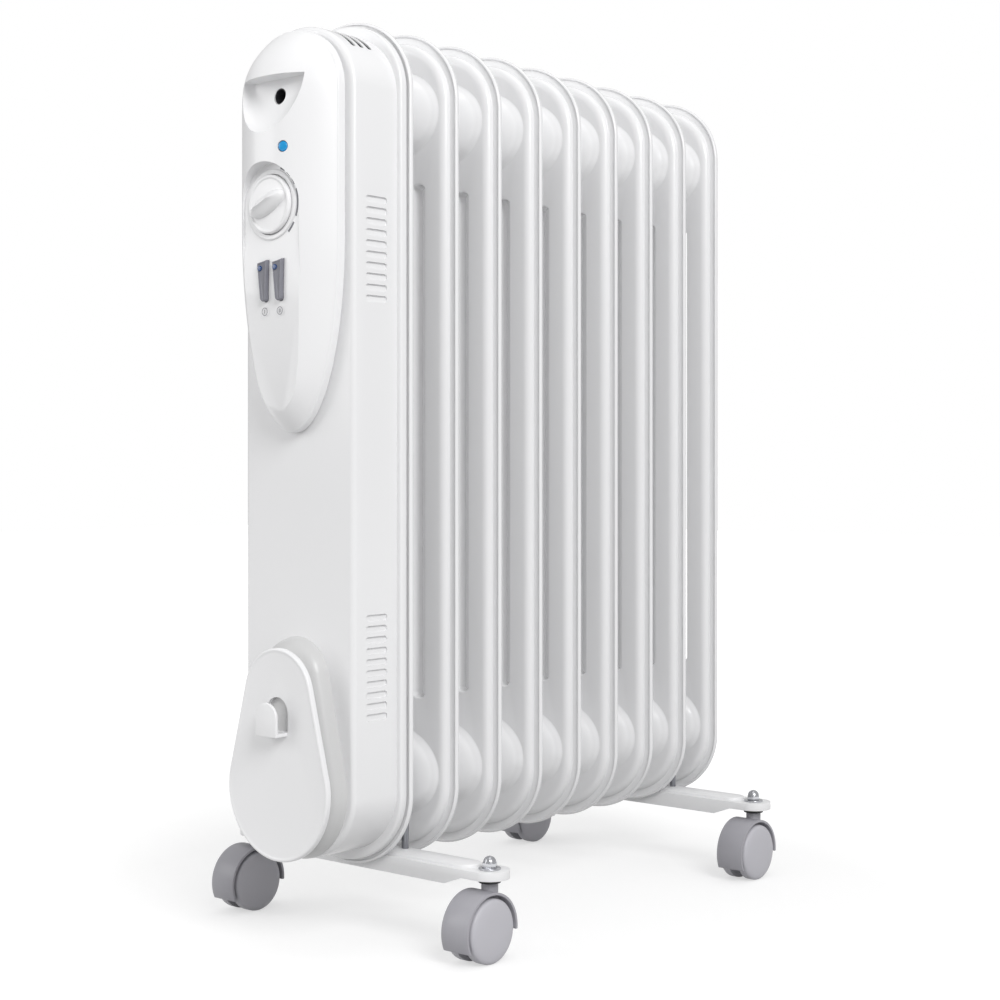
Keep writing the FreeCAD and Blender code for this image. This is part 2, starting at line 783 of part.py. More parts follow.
def control_panel():
    """Bulged shield with a flat control strip, a finger recess and a screw well."""
    body = new_body("control_panel", y="face_y")
    add_pad(body, panel_contour(body, "rim", "0", "0", "0", "0"), "panel_rim")
    contours = [panel_contour(body, "edge", "panel_rim", "0", "0", "0")]
    for name in ("shoulder", "belly", "brow", "bulge"):
        sizes = [f"{name}_{part}" for part in ("depth", "side", "low", "high")]
        contours.append(panel_contour(body, name, *sizes))
    loft = body.newObject("PartDesign::AdditiveLoft", "panel_bulge")
    loft.Profile = contours[0]
    loft.Sections = contours[1:]
    DOC.recompute()
    strip = new_sketch(body, "strip", "strip_depth")
    draw_slot(strip, "0", "strip_low", "knob_z+strip_half", "2*strip_half")
    add_pocket(body, strip, "bulge_depth", front=True)
    finger = new_sketch(body, "finger", "recess_depth")
    draw_half_moon(finger, "recess_half", "recess_top", "recess_drop")
    add_pocket(body, finger, "bulge_depth", front=True)
    cavity = panel_contour(body, "cavity", "0", "cavity_side", "cavity_low", "cavity_high")
    add_pocket(body, cavity, "lamp_seat", front=True)
    hollow = new_sketch(body, "hollow")
    draw_slot(hollow, "0", "panel_tip+cavity_low+panel_wall", "knob_z+strip_half-panel_wall",
              "2*(strip_half-panel_wall)")
    add_pocket(body, hollow, "panel_cavity", front=True)
    controls = new_sketch(body, "controls", "strip_depth")
    draw_circle(controls, "0", "knob_z", "shaft_radius+cut_over")
    for sign in ("-1", "1"):
        draw_rocker(controls, sign, "rocker_gap")
    add_pocket(body, controls, "panel_wall+cut_over")
    lamp = new_sketch(body, "lamp", "bulge_depth+cut_over")
    draw_circle(lamp, "lamp_x", "lamp_z", "lamp_radius+running_gap")
    add_pocket(body, lamp, "bulge_depth+2*cut_over-lamp_seat")
    screw = new_sketch(body, "screw", "recess_depth")
    draw_circle(screw, "screw_x", "screw_z", "screw_radius")
    add_pocket(body, screw, "panel_wall+cut_over")


def draw_half_moon(sketch, half, top, drop):
    """A straight top edge closed by an arc below it."""
    radius = f"(({half})^2+({drop})^2)/(2*({drop}))"
    middle = f"({top})-({drop})+{radius}"
    turn = math.atan2(number(f"({top})-({middle})"), number(half))
    centre = VECTOR(0, number(middle), 0)
    circle = Part.Circle(centre, VECTOR(0, 0, 1), number(radius))
    arc = sketch.addGeometry(Part.ArcOfCircle(circle, math.pi - turn, 2 * math.pi + turn))
    ends = [VECTOR(number(half), number(top), 0), VECTOR(-number(half), number(top), 0)]
    line = sketch.addGeometry(Part.LineSegment(*ends))
    sketch.addConstraint(Sketcher.Constraint("Coincident", arc, 2, line, 1))
    sketch.addConstraint(Sketcher.Constraint("Coincident", line, 2, arc, 1))
    fix_point(sketch, line, 1, half, top)
    fix_point(sketch, line, 2, f"-({half})", top)
    dimension(sketch, "Radius", (arc,), radius)


def draw_rocker(sketch, side, gap):
    """The plan of a rocker: a straight top narrowing to a round foot, grown by the gap."""
    x = number(f"{side}*rocker_spacing/2")
    half = number(f"rocker_half+{gap}")
    foot = number(f"rocker_foot+{gap}")
    top = number(f"rocker_high+{gap}")
    foot_z = number("rocker_low+rocker_foot")
    distance = math.hypot(half, top - foot_z)
    turn = math.atan2(top - foot_z, half) - math.acos(foot / distance)
    touch = VECTOR(foot * math.cos(turn), foot * math.sin(turn), 0)
    circle = Part.Circle(VECTOR(x, foot_z, 0), VECTOR(0, 0, 1), foot)
    corners = (VECTOR(x + half, top, 0), VECTOR(x - half, top, 0))
    upper = sketch.addGeometry(Part.LineSegment(*corners))
    left = sketch.addGeometry(Part.LineSegment(corners[1], VECTOR(x - touch.x, foot_z + touch.y, 0)))
    arc = sketch.addGeometry(Part.ArcOfCircle(circle, math.pi - turn, 2 * math.pi + turn))
    right = sketch.addGeometry(Part.LineSegment(VECTOR(x + touch.x, foot_z + touch.y, 0), corners[0]))
    sketch.addConstraint(Sketcher.Constraint("Coincident", upper, 2, left, 1))
    sketch.addConstraint(Sketcher.Constraint("Tangent", left, 2, arc, 1))
    sketch.addConstraint(Sketcher.Constraint("Tangent", arc, 2, right, 1))
    sketch.addConstraint(Sketcher.Constraint("Coincident", right, 2, upper, 1))
    middle = f"{side}*rocker_spacing/2"
    fix_point(sketch, upper, 1, f"{middle}+rocker_half+{gap}", f"rocker_high+{gap}")
    fix_point(sketch, upper, 2, f"{middle}-rocker_half-{gap}", f"rocker_high+{gap}")
    fix_point(sketch, arc, 3, middle, "rocker_low+rocker_foot")
    dimension(sketch, "Radius", (arc,), f"rocker_foot+{gap}")


# ---------------------------------------------------------------- controls
def thermostat():
    """Knob with a raised grip across it, its shaft and the thermostat behind the strip."""
    knob = new_body("thermostat_knob", y="strip_y-knob_gap", z="knob_z")
    knob.Placement.Rotation = FreeCAD.Rotation(VECTOR(0, 1, 0), number("knob_turn"))
    disc = new_sketch(knob, "disc")
    draw_circle(disc, "0", "0", "knob_radius")
    add_pad(knob, disc, "knob_side")
    dish = new_sketch(knob, "dish", "knob_side")
    draw_circle(dish, "0", "0", "knob_radius-knob_rim")
    add_pocket(knob, dish, "knob_side-knob_floor")
    grip = new_sketch(knob, "grip")
    draw_box(grip, "-grip_half", "grip_half", "-(knob_radius-knob_rim)", "knob_radius-knob_rim")
    add_pad(knob, grip, "knob_height-knob_gap")
    socket = new_sketch(knob, "socket")
    draw_circle(socket, "0", "0", "shaft_radius")
    add_pocket(knob, socket, "knob_side-knob_floor", front=True)
    cylinder_length = "knob_side-knob_floor+knob_gap+panel_wall+thermostat_half"
    shaft = cylinder("thermostat_shaft", "shaft_radius", cylinder_length, "0",
                     "strip_y-knob_gap-(knob_side-knob_floor)", "knob_z", "y")
    finish(shaft, "thermostat_shaft")
    depth = "panel_cavity-thermostat_front_gap"
    case = block("thermostat_case", ("2*thermostat_half", depth, "2*thermostat_half"),
                 "-thermostat_half", "strip_y+panel_wall", "knob_z-thermostat_half")
    bore = cylinder("thermostat_bore", "shaft_radius+running_gap", "thermostat_half+cut_over", "0",
                    "strip_y+panel_wall", "knob_z", "y")
    cut("thermostat_body", case, [bore])


def rocker_switch(name, side):
    """Rocker with a round hub on its back that rolls in the groove of its switch body."""
    body = new_body(f"rocker_{name}", y="face_y")
    plan = new_sketch(body, "plan", "strip_depth+rocker_proud")
    draw_rocker(plan, side, "0")
    add_pad(body, plan, "rocker_thick", back=True)
    half = "rocker_foot-rocker_hub_inset"
    hub = {"Radius": "rocker_hub", "Height": f"2*({half})"}
    middle = f"{side}*rocker_spacing/2"
    primitive("PartDesign::AdditiveCylinder", "hub", hub, x=f"{middle}-({half})",
              y="-hub_depth", z="rocker_middle", axis="x", owner=body)
    case = block(f"switch_case_{name}", ("2*switch_half", "switch_depth", "rocker_high-rocker_low"),
                 f"{middle}-switch_half", "face_y-switch_front", "rocker_low")
    groove = cylinder(f"switch_groove_{name}", "rocker_hub+running_gap", "2*switch_half",
                      f"{middle}-switch_half", "face_y-hub_depth", "rocker_middle", "x")
    cut(f"switch_body_{name}", case, [groove])


def lamp():
    """Clear lens in the bulge and the holder behind it."""
    stem = cylinder("lamp_stem", "lamp_radius", "lamp_front-lamp_seat", "lamp_x",
                    "face_y-lamp_front", "lamp_z", "y")
    finish(stem, "lamp_lens")
    holder = cylinder("lamp_holder", "lamp_holder_radius", "lamp_holder_length", "lamp_x",
                      "face_y-lamp_seat", "lamp_z", "y")
    finish(holder, "lamp_holder")


def panel_screw():
    head = cylinder("panel_screw_head", "screw_head", "screw_head_thick", "screw_x",
                    "face_y-recess_depth-screw_head_thick", "screw_z", "y")
    shank = cylinder("panel_screw_shank", "screw_radius", "recess_depth+housing_wall+cut_over",
                     "screw_x", "face_y-recess_depth", "screw_z", "y")
    fuse("panel_screw", [head, shank], piece=True)


# ---------------------------------------------------------------- cord spool
def hull_sketch(body, name, depth, low, low_round, high, high_round, inset="0"):
    sketch = new_sketch(body, name, depth)
    draw_hull(sketch, ("0", f"{low}+{low_round}", f"{low_round}-({inset})"),
              ("0", f"{high}-{high_round}", f"{high_round}-({inset})"))
    return sketch


def cord_winder():
    """Base and waist of the spool, and its front plate with a bent-out plug clip."""
    neck = new_body("cord_winder_neck", y="face_y")
    base = hull_sketch(neck, "base", "0", "spool_low", "spool_half", "spool_high", "spool_top_round")
    add_pad(neck, base, "spool_base")
    waist = hull_sketch(neck, "waist", "0", "waist_low", "waist_low_round", "waist_top",
                        "waist_top_round")
    add_pad(neck, waist, "plate_face-plate_thick")
    hollow = hull_sketch(neck, "hollow", "0", "waist_low", "waist_low_round", "waist_top",
                         "waist_top_round", "panel_wall")
    add_pocket(neck, hollow, "plate_face-plate_thick-panel_wall", front=True)

    plate = new_body("cord_winder_plate", y="face_y-plate_face+plate_thick")
    face = hull_sketch(plate, "face", "0", "plate_low", "plate_low_round", "plate_high",
                       "plate_top_round")
    add_pad(plate, face, "plate_thick")
    opening = new_sketch(plate, "opening", "plate_thick")
    draw_arch_window(opening, "clip_half", "clip_low", "clip_high")
    add_pocket(plate, opening, "plate_thick")
    tongue = new_sketch(plate, "tongue", "plate_thick+clip_reach")
    draw_arch_window(tongue, "clip_half-clip_side_gap", "clip_low-clip_drop", "clip_high-clip_drop")
    add_pad(plate, tongue, "clip_thick", back=True)
    shelf = new_sketch(plate, "shelf")
    draw_box(shelf, "-(clip_half-clip_side_gap)", "clip_half-clip_side_gap",
             "clip_low-clip_drop", "clip_low-clip_drop+clip_thick")
    add_pad(plate, shelf, "plate_thick+clip_reach")


def draw_arch_window(sketch, half, low, high):
    """Straight foot and sides under a half-round head."""
    radius = number(half)
    spring = number(f"({high})-({half})")
    foot = number(low)
    circle = Part.Circle(VECTOR(0, spring, 0), VECTOR(0, 0, 1), radius)
    base = sketch.addGeometry(Part.LineSegment(VECTOR(-radius, foot, 0), VECTOR(radius, foot, 0)))
    right = sketch.addGeometry(Part.LineSegment(VECTOR(radius, foot, 0), VECTOR(radius, spring, 0)))
    head = sketch.addGeometry(Part.ArcOfCircle(circle, 0, math.pi))
    left = sketch.addGeometry(Part.LineSegment(VECTOR(-radius, spring, 0), VECTOR(-radius, foot, 0)))
    sketch.addConstraint(Sketcher.Constraint("Coincident", base, 2, right, 1))
    sketch.addConstraint(Sketcher.Constraint("Tangent", right, 2, head, 1))
    sketch.addConstraint(Sketcher.Constraint("Tangent", head, 2, left, 1))
    sketch.addConstraint(Sketcher.Constraint("Coincident", left, 2, base, 1))
    fix_point(sketch, base, 1, f"-({half})", low)
    fix_point(sketch, base, 2, half, low)
    fix_point(sketch, head, 3, "0", f"({high})-({half})")
    dimension(sketch, "Radius", (head,), half)


# ---------------------------------------------------------------- inside the housing
def heating_element():
    """Two U tubes in the lower header and the flange that closes it."""
    flange = cylinder("element_disc", "element_flange_radius", "element_flange_thick", "0",
                      "front_neck_y-element_flange_thick", "header_low", "y")
    spigot = cylinder("element_spigot_disc", "element_spigot", "element_spigot_length", "0",
                      "front_neck_y", "header_low", "y")
    pins = []
    tubes = []
    start = "front_neck_y+element_spigot_length"
    for tier, z in (("low", "header_low-element_tier"), ("high", "header_low+element_tier")):
        legs = []
        for side, x in (("left", "-element_half"), ("right", "element_half")):
            pins.append(cylinder(f"pin_{tier}_{side}", "terminal_radius", "terminal_length", x,
                                 "front_neck_y-element_flange_thick-terminal_length", z, "y"))
            legs.append(cylinder(f"leg_{tier}_{side}", "element_rod", "element_length", x, start, z, "y"))
        sizes = {"Radius1": "element_half", "Radius2": "element_rod"}
        ring = primitive("Part::Torus", f"ring_{tier}", sizes, "0", f"{start}+element_length", z)
        half = block(f"ring_half_{tier}", ("4*element_half", "2*element_half", "2*element_half"),
                     "-2*element_half", f"{start}+element_length", f"{z}-element_half")
        bend = DOC.addObject("Part::Common", f"bend_{tier}")
        bend.Base = ring
        bend.Tool = half
        tubes.append(fuse(f"u_tube_{tier}", legs + [bend]))
    fuse("element_flange", [flange, spigot] + pins, piece=True)
    group("heating_element", tubes)


def shield_fittings():
    """Thermal cut-out, terminal block and tip-over switch on the front of the heat shield."""
    body = cylinder("cutout_can", "cutout_radius", "cutout_thick", "0",
                    "shield_front_y-cutout_thick", "cutout_z", "y")
    finish(body, "thermal_cutout")
    strip = block("terminal_strip", ("2*block_half", "block_depth", "block_height"),
                  "-block_half", "shield_front_y-block_depth", "block_z-block_height/2")
    wells = []
    for index in range(3):
        x = f"block_half*2*({index}-1)/3"
        wells.append(cylinder(f"terminal_well_{index}", "terminal_radius", "block_depth/2", x,
                              "shield_front_y-block_depth", "block_z", "y"))
    cut("terminal_block", strip, wells)
    case = block("tilt_box", ("2*tilt_half", "tilt_depth", "tilt_height"), "-tilt_half",
                 "shield_front_y-tilt_depth", "tilt_z-tilt_height/2")
    room = block("tilt_room", ("2*(tilt_half-tilt_wall)", "tilt_depth-2*tilt_wall",
                               "tilt_height-2*tilt_wall"), "-(tilt_half-tilt_wall)",
                 "shield_front_y-tilt_depth+tilt_wall", "tilt_z-tilt_height/2+tilt_wall")
    hollow = cut("tilt_hollow", case, [room], piece=False)
    pin_z = "tilt_z+tilt_height/2-tilt_wall-tilt_pin_drop"
    pin = cylinder("tilt_pin_rod", "tilt_pin", "tilt_depth-tilt_wall", "0",
                   "shield_front_y-tilt_depth+tilt_wall/2", pin_z, "y")
    fuse("tilt_switch_case", [hollow, pin], piece=True)
    middle = "shield_front_y-tilt_depth/2"
    thick = "(tilt_depth-2*tilt_wall)/2"
    eye = cylinder("tilt_eye", "tilt_pin*2", thick, "0", f"{middle}-({thick})/2", pin_z, "y")
    arm = block("tilt_arm_bar", ("2*tilt_pin", thick, "tilt_arm"), "-tilt_pin",
                f"{middle}-({thick})/2", f"{pin_z}-tilt_arm")
    bob = cylinder("tilt_bob_disc", "tilt_bob", thick, "0", f"{middle}-({thick})/2",
                   f"{pin_z}-tilt_arm", "y")
    hole = cylinder("tilt_hole", "tilt_pin+running_gap", "tilt_depth", "0",
                    "shield_front_y-tilt_depth", pin_z, "y")
    cut("tilt_switch_pendulum", fuse("tilt_swing", [eye, arm, bob]), [hole])


def cable_gland():
    """Strain-relief bush of the mains inlet in the left wall."""
    y = "shield_front_y-gland_depth"
    flange = cylinder("gland_collar", "gland_flange", "housing_wall", "-housing_half-housing_wall",
                      y, "gland_z", "x")
    bush = cylinder("gland_bush", "gland_radius", "gland_length", "-housing_half", y, "gland_z", "x")
    bore = cylinder("gland_hole", "gland_bore", "gland_length+2*housing_wall",
                    "-housing_half-2*housing_wall", y, "gland_z", "x")
    cut("cable_gland", fuse("gland_solid", [flange, bush]), [bore])


# ---------------------------------------------------------------- foot bars and U-bolts
def plan_sketch(body, name, height, half, reach):
    """A lying slot shape along X in a plane of the given height."""
    sketch = new_sketch(body, name, height, "XY_Plane")
    turn = FreeCAD.Rotation(VECTOR(0, 0, 1), 90)
    sketch.AttachmentOffset = FreeCAD.Placement(VECTOR(0, 0, number(height)), turn)
    bind(sketch, ".AttachmentOffset.Base.z", height)
    draw_hull(sketch, ("0", f"-({reach})", half), ("0", reach, half))
    return sketch


def foot_bracket(label, y):
    """Pressed channel across the radiator, with round cupped ends over the caster stems."""
    body = new_body(label, y=y)
    add_pad(body, plan_sketch(body, "plan", "foot_low", "foot_half", "stem_x"), "foot_top-foot_low")
    inner = plan_sketch(body, "inside", "foot_low", "foot_half-foot_sheet", "stem_x")
    add_pocket(body, inner, "foot_top-foot_low-foot_sheet", front=True)
    rib = plan_sketch(body, "rib", "foot_top", "rib_half", "rib_end-rib_half")
    add_pad(body, rib, "rib_height")
    ends = new_sketch(body, "ends")
    far = "stem_x+2*foot_half"
    for sign in ("", "-"):
        outline = [("foot_slope_start", "foot_low-cut_over"), (far, "foot_low-cut_over"), (far, "foot_rim"),
                   ("foot_slope_end", "foot_rim"), ("foot_slope_start", "foot_low")]
        draw_polygon(ends, [(f"{sign}({x})", z) for x, z in outline])
    add_pocket(body, ends, "3*foot_half", middle=True)
    holes = new_sketch(body, "holes", "foot_top+2*rib_height", "XY_Plane")
    for sign in ("", "-"):
        draw_circle(holes, f"{sign}stem_x", "0", "foot_hole")
        draw_circle(holes, f"{sign}(ubolt_x)", "foot_offset", "ubolt_rod+running_gap")
    add_pocket(body, holes, "3*foot_sheet")


def ubolt(label, y):
    """Bent rod over the lower header neck, its legs down through the foot bar."""
    legs = []
    for side, x in (("left", "-(ubolt_x)"), ("right", "ubolt_x")):
        legs.append(cylinder(f"{label}_{side}", "ubolt_rod", "header_low-ubolt_end", x, y, "ubolt_end"))
    sizes = {"Radius1": "ubolt_x", "Radius2": "ubolt_rod"}
    ring = primitive("Part::Torus", f"{label}_ring", sizes, "0", y, "header_low", "y")
    upper = block(f"{label}_upper", ("4*ubolt_x", "4*ubolt_rod", "2*ubolt_x"), "-2*(ubolt_x)",
                  f"{y}-2*ubolt_rod", "header_low")
    bend = DOC.addObject("Part::Common", f"{label}_bend")
    bend.Base = ring
    bend.Tool = upper
    fuse(label, legs + [bend], piece=True)


def ubolt_nuts():
    """A nut below the foot bar on each leg, which draws the bar up to the sections."""
    nuts = []
    seat = "foot_top-foot_sheet-nut_height"
    for row, y in (("front", "first_y+section_pitch/2"), ("rear", "last_y-section_pitch/2")):
        for side, x in (("left", "-(ubolt_x)"), ("right", "ubolt_x")):
            name = f"nut_{row}_{side}"
            body = hexagon(f"{name}_body", "nut_half", "nut_height", x, y, seat)
            hole = cylinder(f"{name}_hole", "ubolt_rod+running_gap", "3*nut_height", x, y,
                            f"{seat}-nut_height")
            nuts.append(cut(name, body, [hole], piece=False))
    group("ubolt_nuts", nuts)


# ---------------------------------------------------------------- casters
def caster_places():
    """Name, X and Y of the four caster stems."""
    places = []
    for row, y in (("front", "foot_front_y"), ("rear", "foot_rear_y")):
        for side, x in (("left", "-stem_x"), ("right", "stem_x")):
            places.append((f"{row}_{side}", x, y))
    return places


def caster_hood(name, x, y):
    """Cover over both wheels, with a web that carries the axle and a neck for the kingpin."""
    wheel_y = f"{y}-wheel_trail"
    drum = cylinder(f"drum_{name}", "hood_radius", "2*hood_half", f"{x}-hood_half", wheel_y,
                    "wheel_z", "x")
    neck = cylinder(f"neck_{name}", "hood_neck", "hood_neck_top-wheel_z", x, y, "wheel_z")
    cover = fuse(f"cover_{name}", [drum, neck])
    far = "2*hood_radius"
    below = block(f"below_{name}", (far, f"2*({far})", far), f"{x}-hood_radius",
                  f"{wheel_y}-({far})", f"wheel_z-hood_front_drop-({far})")
    behind = block(f"behind_{name}", (far, far, far), f"{x}-hood_radius", wheel_y,
                   f"wheel_z-hood_rear_drop-({far})")
    spaces = []
    width = "hood_half-hood_web"
    for side, start in (("left", f"{x}-hood_half-cut_over"), ("right", f"{x}+hood_web")):
        spaces.append(cylinder(f"space_{name}_{side}", "wheel_radius+hood_gap", f"{width}+cut_over", start,
                               wheel_y, "wheel_z", "x"))
    shell = cut(f"shell_{name}", cover, [below, behind] + spaces, piece=False)
    hub = cylinder(f"hub_{name}", "hood_hub", "2*hood_web", f"{x}-hood_web", wheel_y, "wheel_z", "x")
    body = fuse(f"hood_body_{name}", [shell, hub])
    pin_hole = cylinder(f"pin_hole_{name}", "kingpin_radius+kingpin_gap",
                        "hood_neck_top-kingpin_low+cut_over", x, y, "kingpin_low-swivel_gap")
    axle_hole = cylinder(f"axle_hole_{name}", "axle_radius", "4*hood_web", f"{x}-2*hood_web",
                         wheel_y, "wheel_z", "x")
    cut(f"caster_hood_{name}", body, [pin_hole, axle_hole])


def caster_wheel(label, x, y, sign):
    """One wheel: tread, crowned side disc and a blind bore for the axle; sign is its side."""
    tread_start = f"{x}+tread_inner" if sign > 0 else f"{x}-(tread_outer)"
    tread = cylinder(f"{label}_tread", "wheel_radius", "tread_width", tread_start, y, "wheel_z", "x")
    radii = ("wheel_radius", "disc_crown") if sign > 0 else ("disc_crown", "wheel_radius")
    disc_start = f"{x}+tread_outer" if sign > 0 else f"{x}-wheel_half"
    sizes = {"Radius1": radii[0], "Radius2": radii[1], "Height": "wheel_half-(tread_outer)"}
    disc = primitive("Part::Cone", f"{label}_disc", sizes, disc_start, y, "wheel_z", "x")
    end = "axle_half+axle_end_gap"
    bore_start = f"{x}+tread_inner-cut_over" if sign > 0 else f"{x}-({end})"
    bore = cylinder(f"{label}_bore", "axle_radius+axle_gap", f"{end}-tread_inner+cut_over", bore_start, y,
                    "wheel_z", "x")
    cut(label, fuse(f"{label}_solid", [tread, disc]), [bore])


def casters():
    """Four twin-wheel swivel casters under the ends of the foot bars."""
    washers = []
    nuts = []
    for name, x, y in caster_places():
        caster_hood(name, x, y)
        pin = cylinder(f"pin_{name}", "kingpin_radius", "dome_nut_top-dome_nut_wall-kingpin_low",
                       x, y, "kingpin_low")
        collar = cylinder(f"collar_{name}", "collar_radius",
                          "foot_top-foot_sheet-hood_neck_top-swivel_gap", x, y,
                          "hood_neck_top+swivel_gap")
        fuse(f"caster_stem_{name}", [pin, collar], piece=True)
        wheel_y = f"{y}-wheel_trail"
        axle = cylinder(f"axle_{name}", "axle_radius", "2*axle_half", f"{x}-axle_half", wheel_y,
                        "wheel_z", "x")
        finish(axle, f"caster_axle_{name}")
        outward = -1 if x.startswith("-") else 1
        caster_wheel(f"wheel_outer_{name}", x, wheel_y, outward)
        caster_wheel(f"wheel_inner_{name}", x, wheel_y, -outward)
        ring = cylinder(f"washer_{name}", "washer_radius", "washer_thick", x, y, "foot_top")
        hole = cylinder(f"washer_hole_{name}", "foot_hole", "3*washer_thick", x, y,
                        "foot_top-washer_thick")
        washers.append(cut(f"washer_ring_{name}", ring, [hole], piece=False))
        nuts.append(dome_nut(name, x, y))
    group("stem_washers", washers)
    group("dome_nuts", nuts)


def dome_nut(name, x, y):
    """Hexagon with a round head, bored for the kingpin."""
    seat = "foot_top+washer_thick"
    base = hexagon(f"nut_base_{name}", "dome_nut_radius", "dome_nut_hexagon", x, y, seat)
    radius = "dome_nut_radius*cos(30)"
    skirt = cylinder(f"nut_skirt_{name}", radius, f"dome_nut_top-({seat})-{radius}", x, y, seat)
    head = primitive("Part::Sphere", f"nut_head_{name}", {"Radius": radius}, x, y,
                     f"dome_nut_top-{radius}")
    head.Angle1 = 0
    hole = cylinder(f"nut_hole_{name}", "foot_hole", f"dome_nut_top-dome_nut_wall-({seat})+cut_over", x, y,
                    f"{seat}-cut_over")
    return cut(f"nut_{name}", fuse(f"nut_solid_{name}", [base, skirt, head]), [hole], piece=False)


def build():
    oil_sections()
    header_domes()
    header_plugs()
    heat_shield()
    housing_shell()
    control_panel()
    thermostat()
    rocker_switch("low", "-1")
    rocker_switch("high", "1")
    lamp()
    panel_screw()
    cord_winder()
    heating_element()
    shield_fittings()
    cable_gland()
    foot_bracket("foot_bracket_front", "foot_front_y")
    foot_bracket("foot_bracket_rear", "foot_rear_y")
    ubolt("ubolt_front", "first_y+section_pitch/2")
    ubolt("ubolt_rear", "last_y-section_pitch/2")
    ubolt_nuts()
    casters()
    DOC.recompute()


def export():
    """Check every object and piece, then write one STEP file for each piece."""
    for item in DOC.Objects:
        if "Invalid" in item.State or "Error" in item.State:
            raise RuntimeError(f"{item.Name} failed: {item.State}")
    for piece in PIECES:
        if piece.Shape.isNull() or not piece.Shape.isValid():
            raise RuntimeError(f"{piece.Label} has no valid shape")
    os.makedirs("parts", exist_ok=True)
    for piece in PIECES:
        piece.Shape.exportStep(f"parts/{piece.Label}.step")


build()
export()
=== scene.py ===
"""Oil filled radiator heater, modelled over its construction frame."""
import math

import bmesh
import bpy
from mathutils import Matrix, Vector


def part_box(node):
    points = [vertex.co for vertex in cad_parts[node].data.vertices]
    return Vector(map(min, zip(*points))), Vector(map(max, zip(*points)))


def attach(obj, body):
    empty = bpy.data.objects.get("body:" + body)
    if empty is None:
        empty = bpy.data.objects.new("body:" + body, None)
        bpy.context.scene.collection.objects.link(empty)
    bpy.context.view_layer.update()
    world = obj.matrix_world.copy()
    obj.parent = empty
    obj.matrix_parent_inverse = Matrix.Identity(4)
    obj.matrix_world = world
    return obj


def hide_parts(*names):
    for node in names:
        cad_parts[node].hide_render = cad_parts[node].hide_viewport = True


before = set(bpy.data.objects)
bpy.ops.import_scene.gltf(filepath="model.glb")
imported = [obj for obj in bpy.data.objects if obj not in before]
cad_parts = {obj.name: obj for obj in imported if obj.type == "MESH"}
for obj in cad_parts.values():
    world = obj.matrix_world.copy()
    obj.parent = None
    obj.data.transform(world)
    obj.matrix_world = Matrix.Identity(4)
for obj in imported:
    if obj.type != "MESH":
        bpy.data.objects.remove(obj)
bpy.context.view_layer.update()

bl_info = {
    "name": "Oil Radiator Heater",
    "version": (1, 0, 0),
    "blender": (4, 5, 0),
    "location": "View3D > Sidebar > Heater",
    "description": "Models an oil filled radiator heater piece by piece",
    "category": "Add Mesh",
}

MM = 0.001
SECTIONS = sorted((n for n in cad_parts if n.startswith("radiator_section_")),
                  key=lambda n: int(n.rsplit("_", 1)[1]))
CASTERS = ("front_left", "front_right", "rear_left", "rear_right")
FORWARD = (math.pi / 2, 0, 0)  # turns a flat disc so that it looks to the front
ROUND = 96  # corners of a large round outline
ASIDE = 2  # how far off a placed part of an outline waits, so that it isn't picked again
FAR_ASIDE = 10


def middle_of(node):
    low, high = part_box(node)
    return (low + high) / 2


def near(a, b, gap=1e-5):
    return abs(a - b) < gap


def linear(hex_colour):
    """An sRGB hex colour as the linear RGBA that shaders work in."""
    values = [int(hex_colour[i:i + 2], 16) / 255 for i in (1, 3, 5)]
    return [v / 12.92 if v <= 0.04045 else ((v + 0.055) / 1.055) ** 2.4 for v in values] + [1]


FIRST_Y = middle_of("radiator_section_1").y
PITCH = middle_of("radiator_section_2").y - FIRST_Y
SHIELD_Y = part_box("heat_shield")[0].y
FACE_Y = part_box("housing_shell")[0].y
SECTION_LOW, SECTION_HIGH = (corner.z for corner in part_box("radiator_section_1"))
SECTION_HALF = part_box("radiator_section_1")[1].x
KNOB_Z = middle_of("thermostat_shaft").z
STEM_X = middle_of("caster_stem_rear_right").x


# ---- hands
def leave_edit():
    if bpy.context.object and bpy.context.object.mode == "EDIT":
        bpy.ops.object.mode_set(mode="OBJECT")


def only(*pieces):
    """Leave edit mode with nothing selected but these pieces, the first of them active."""
    leave_edit()
    bpy.ops.object.select_all(action="DESELECT")
    for piece in pieces:
        piece.select_set(True)
    if pieces:
        bpy.context.view_layer.objects.active = pieces[0]


def begin(name, shape, **settings):
    """Add a primitive with nothing else selected and open it in edit mode."""
    only()
    getattr(bpy.ops.mesh, f"primitive_{shape}_add")(**settings)
    piece = bpy.context.object
    piece.name = piece.data.name = name
    bpy.ops.object.transform_apply()
    bpy.ops.object.mode_set(mode="EDIT")
    return piece


def pick(kind, place=lambda point: True, form=lambda item: True):
    """Select the vertices, edges or faces whose middle point and whose form pass the tests."""
    mesh = bpy.context.object.data
    bpy.ops.mesh.select_mode(type=kind)
    bpy.ops.mesh.select_all(action="DESELECT")
    work = bmesh.from_edit_mesh(mesh)
    for item in {"VERT": work.verts, "EDGE": work.edges, "FACE": work.faces}[kind]:
        corners = [item] if kind == "VERT" else item.verts
        middle = sum((corner.co for corner in corners), Vector()) / len(corners)
        if place(middle) and form(item):
            item.select_set(True)
    work.select_flush_mode()
    bmesh.update_edit_mesh(mesh)


def apart(edge, axis):
    """Whether an edge's ends lie apart along the axis."""
    return not near(edge.verts[0].co[axis], edge.verts[1].co[axis])


def pick_boundary():
    pick("EDGE", form=lambda item: item.is_boundary)


def disc(name, place, radius, vertices, turn=FORWARD):
    """A round face at its place, open and picked; unless turned another way, it looks to the front."""
    piece = begin(name, "circle", vertices=vertices, radius=radius, fill_type="NGON",
                  location=place, rotation=turn)
    pick("FACE")
    return piece


def scale(x=1, y=1, z=1, about=(0, 0, 0)):
    bpy.ops.transform.resize(value=(x, y, z), center_override=about)


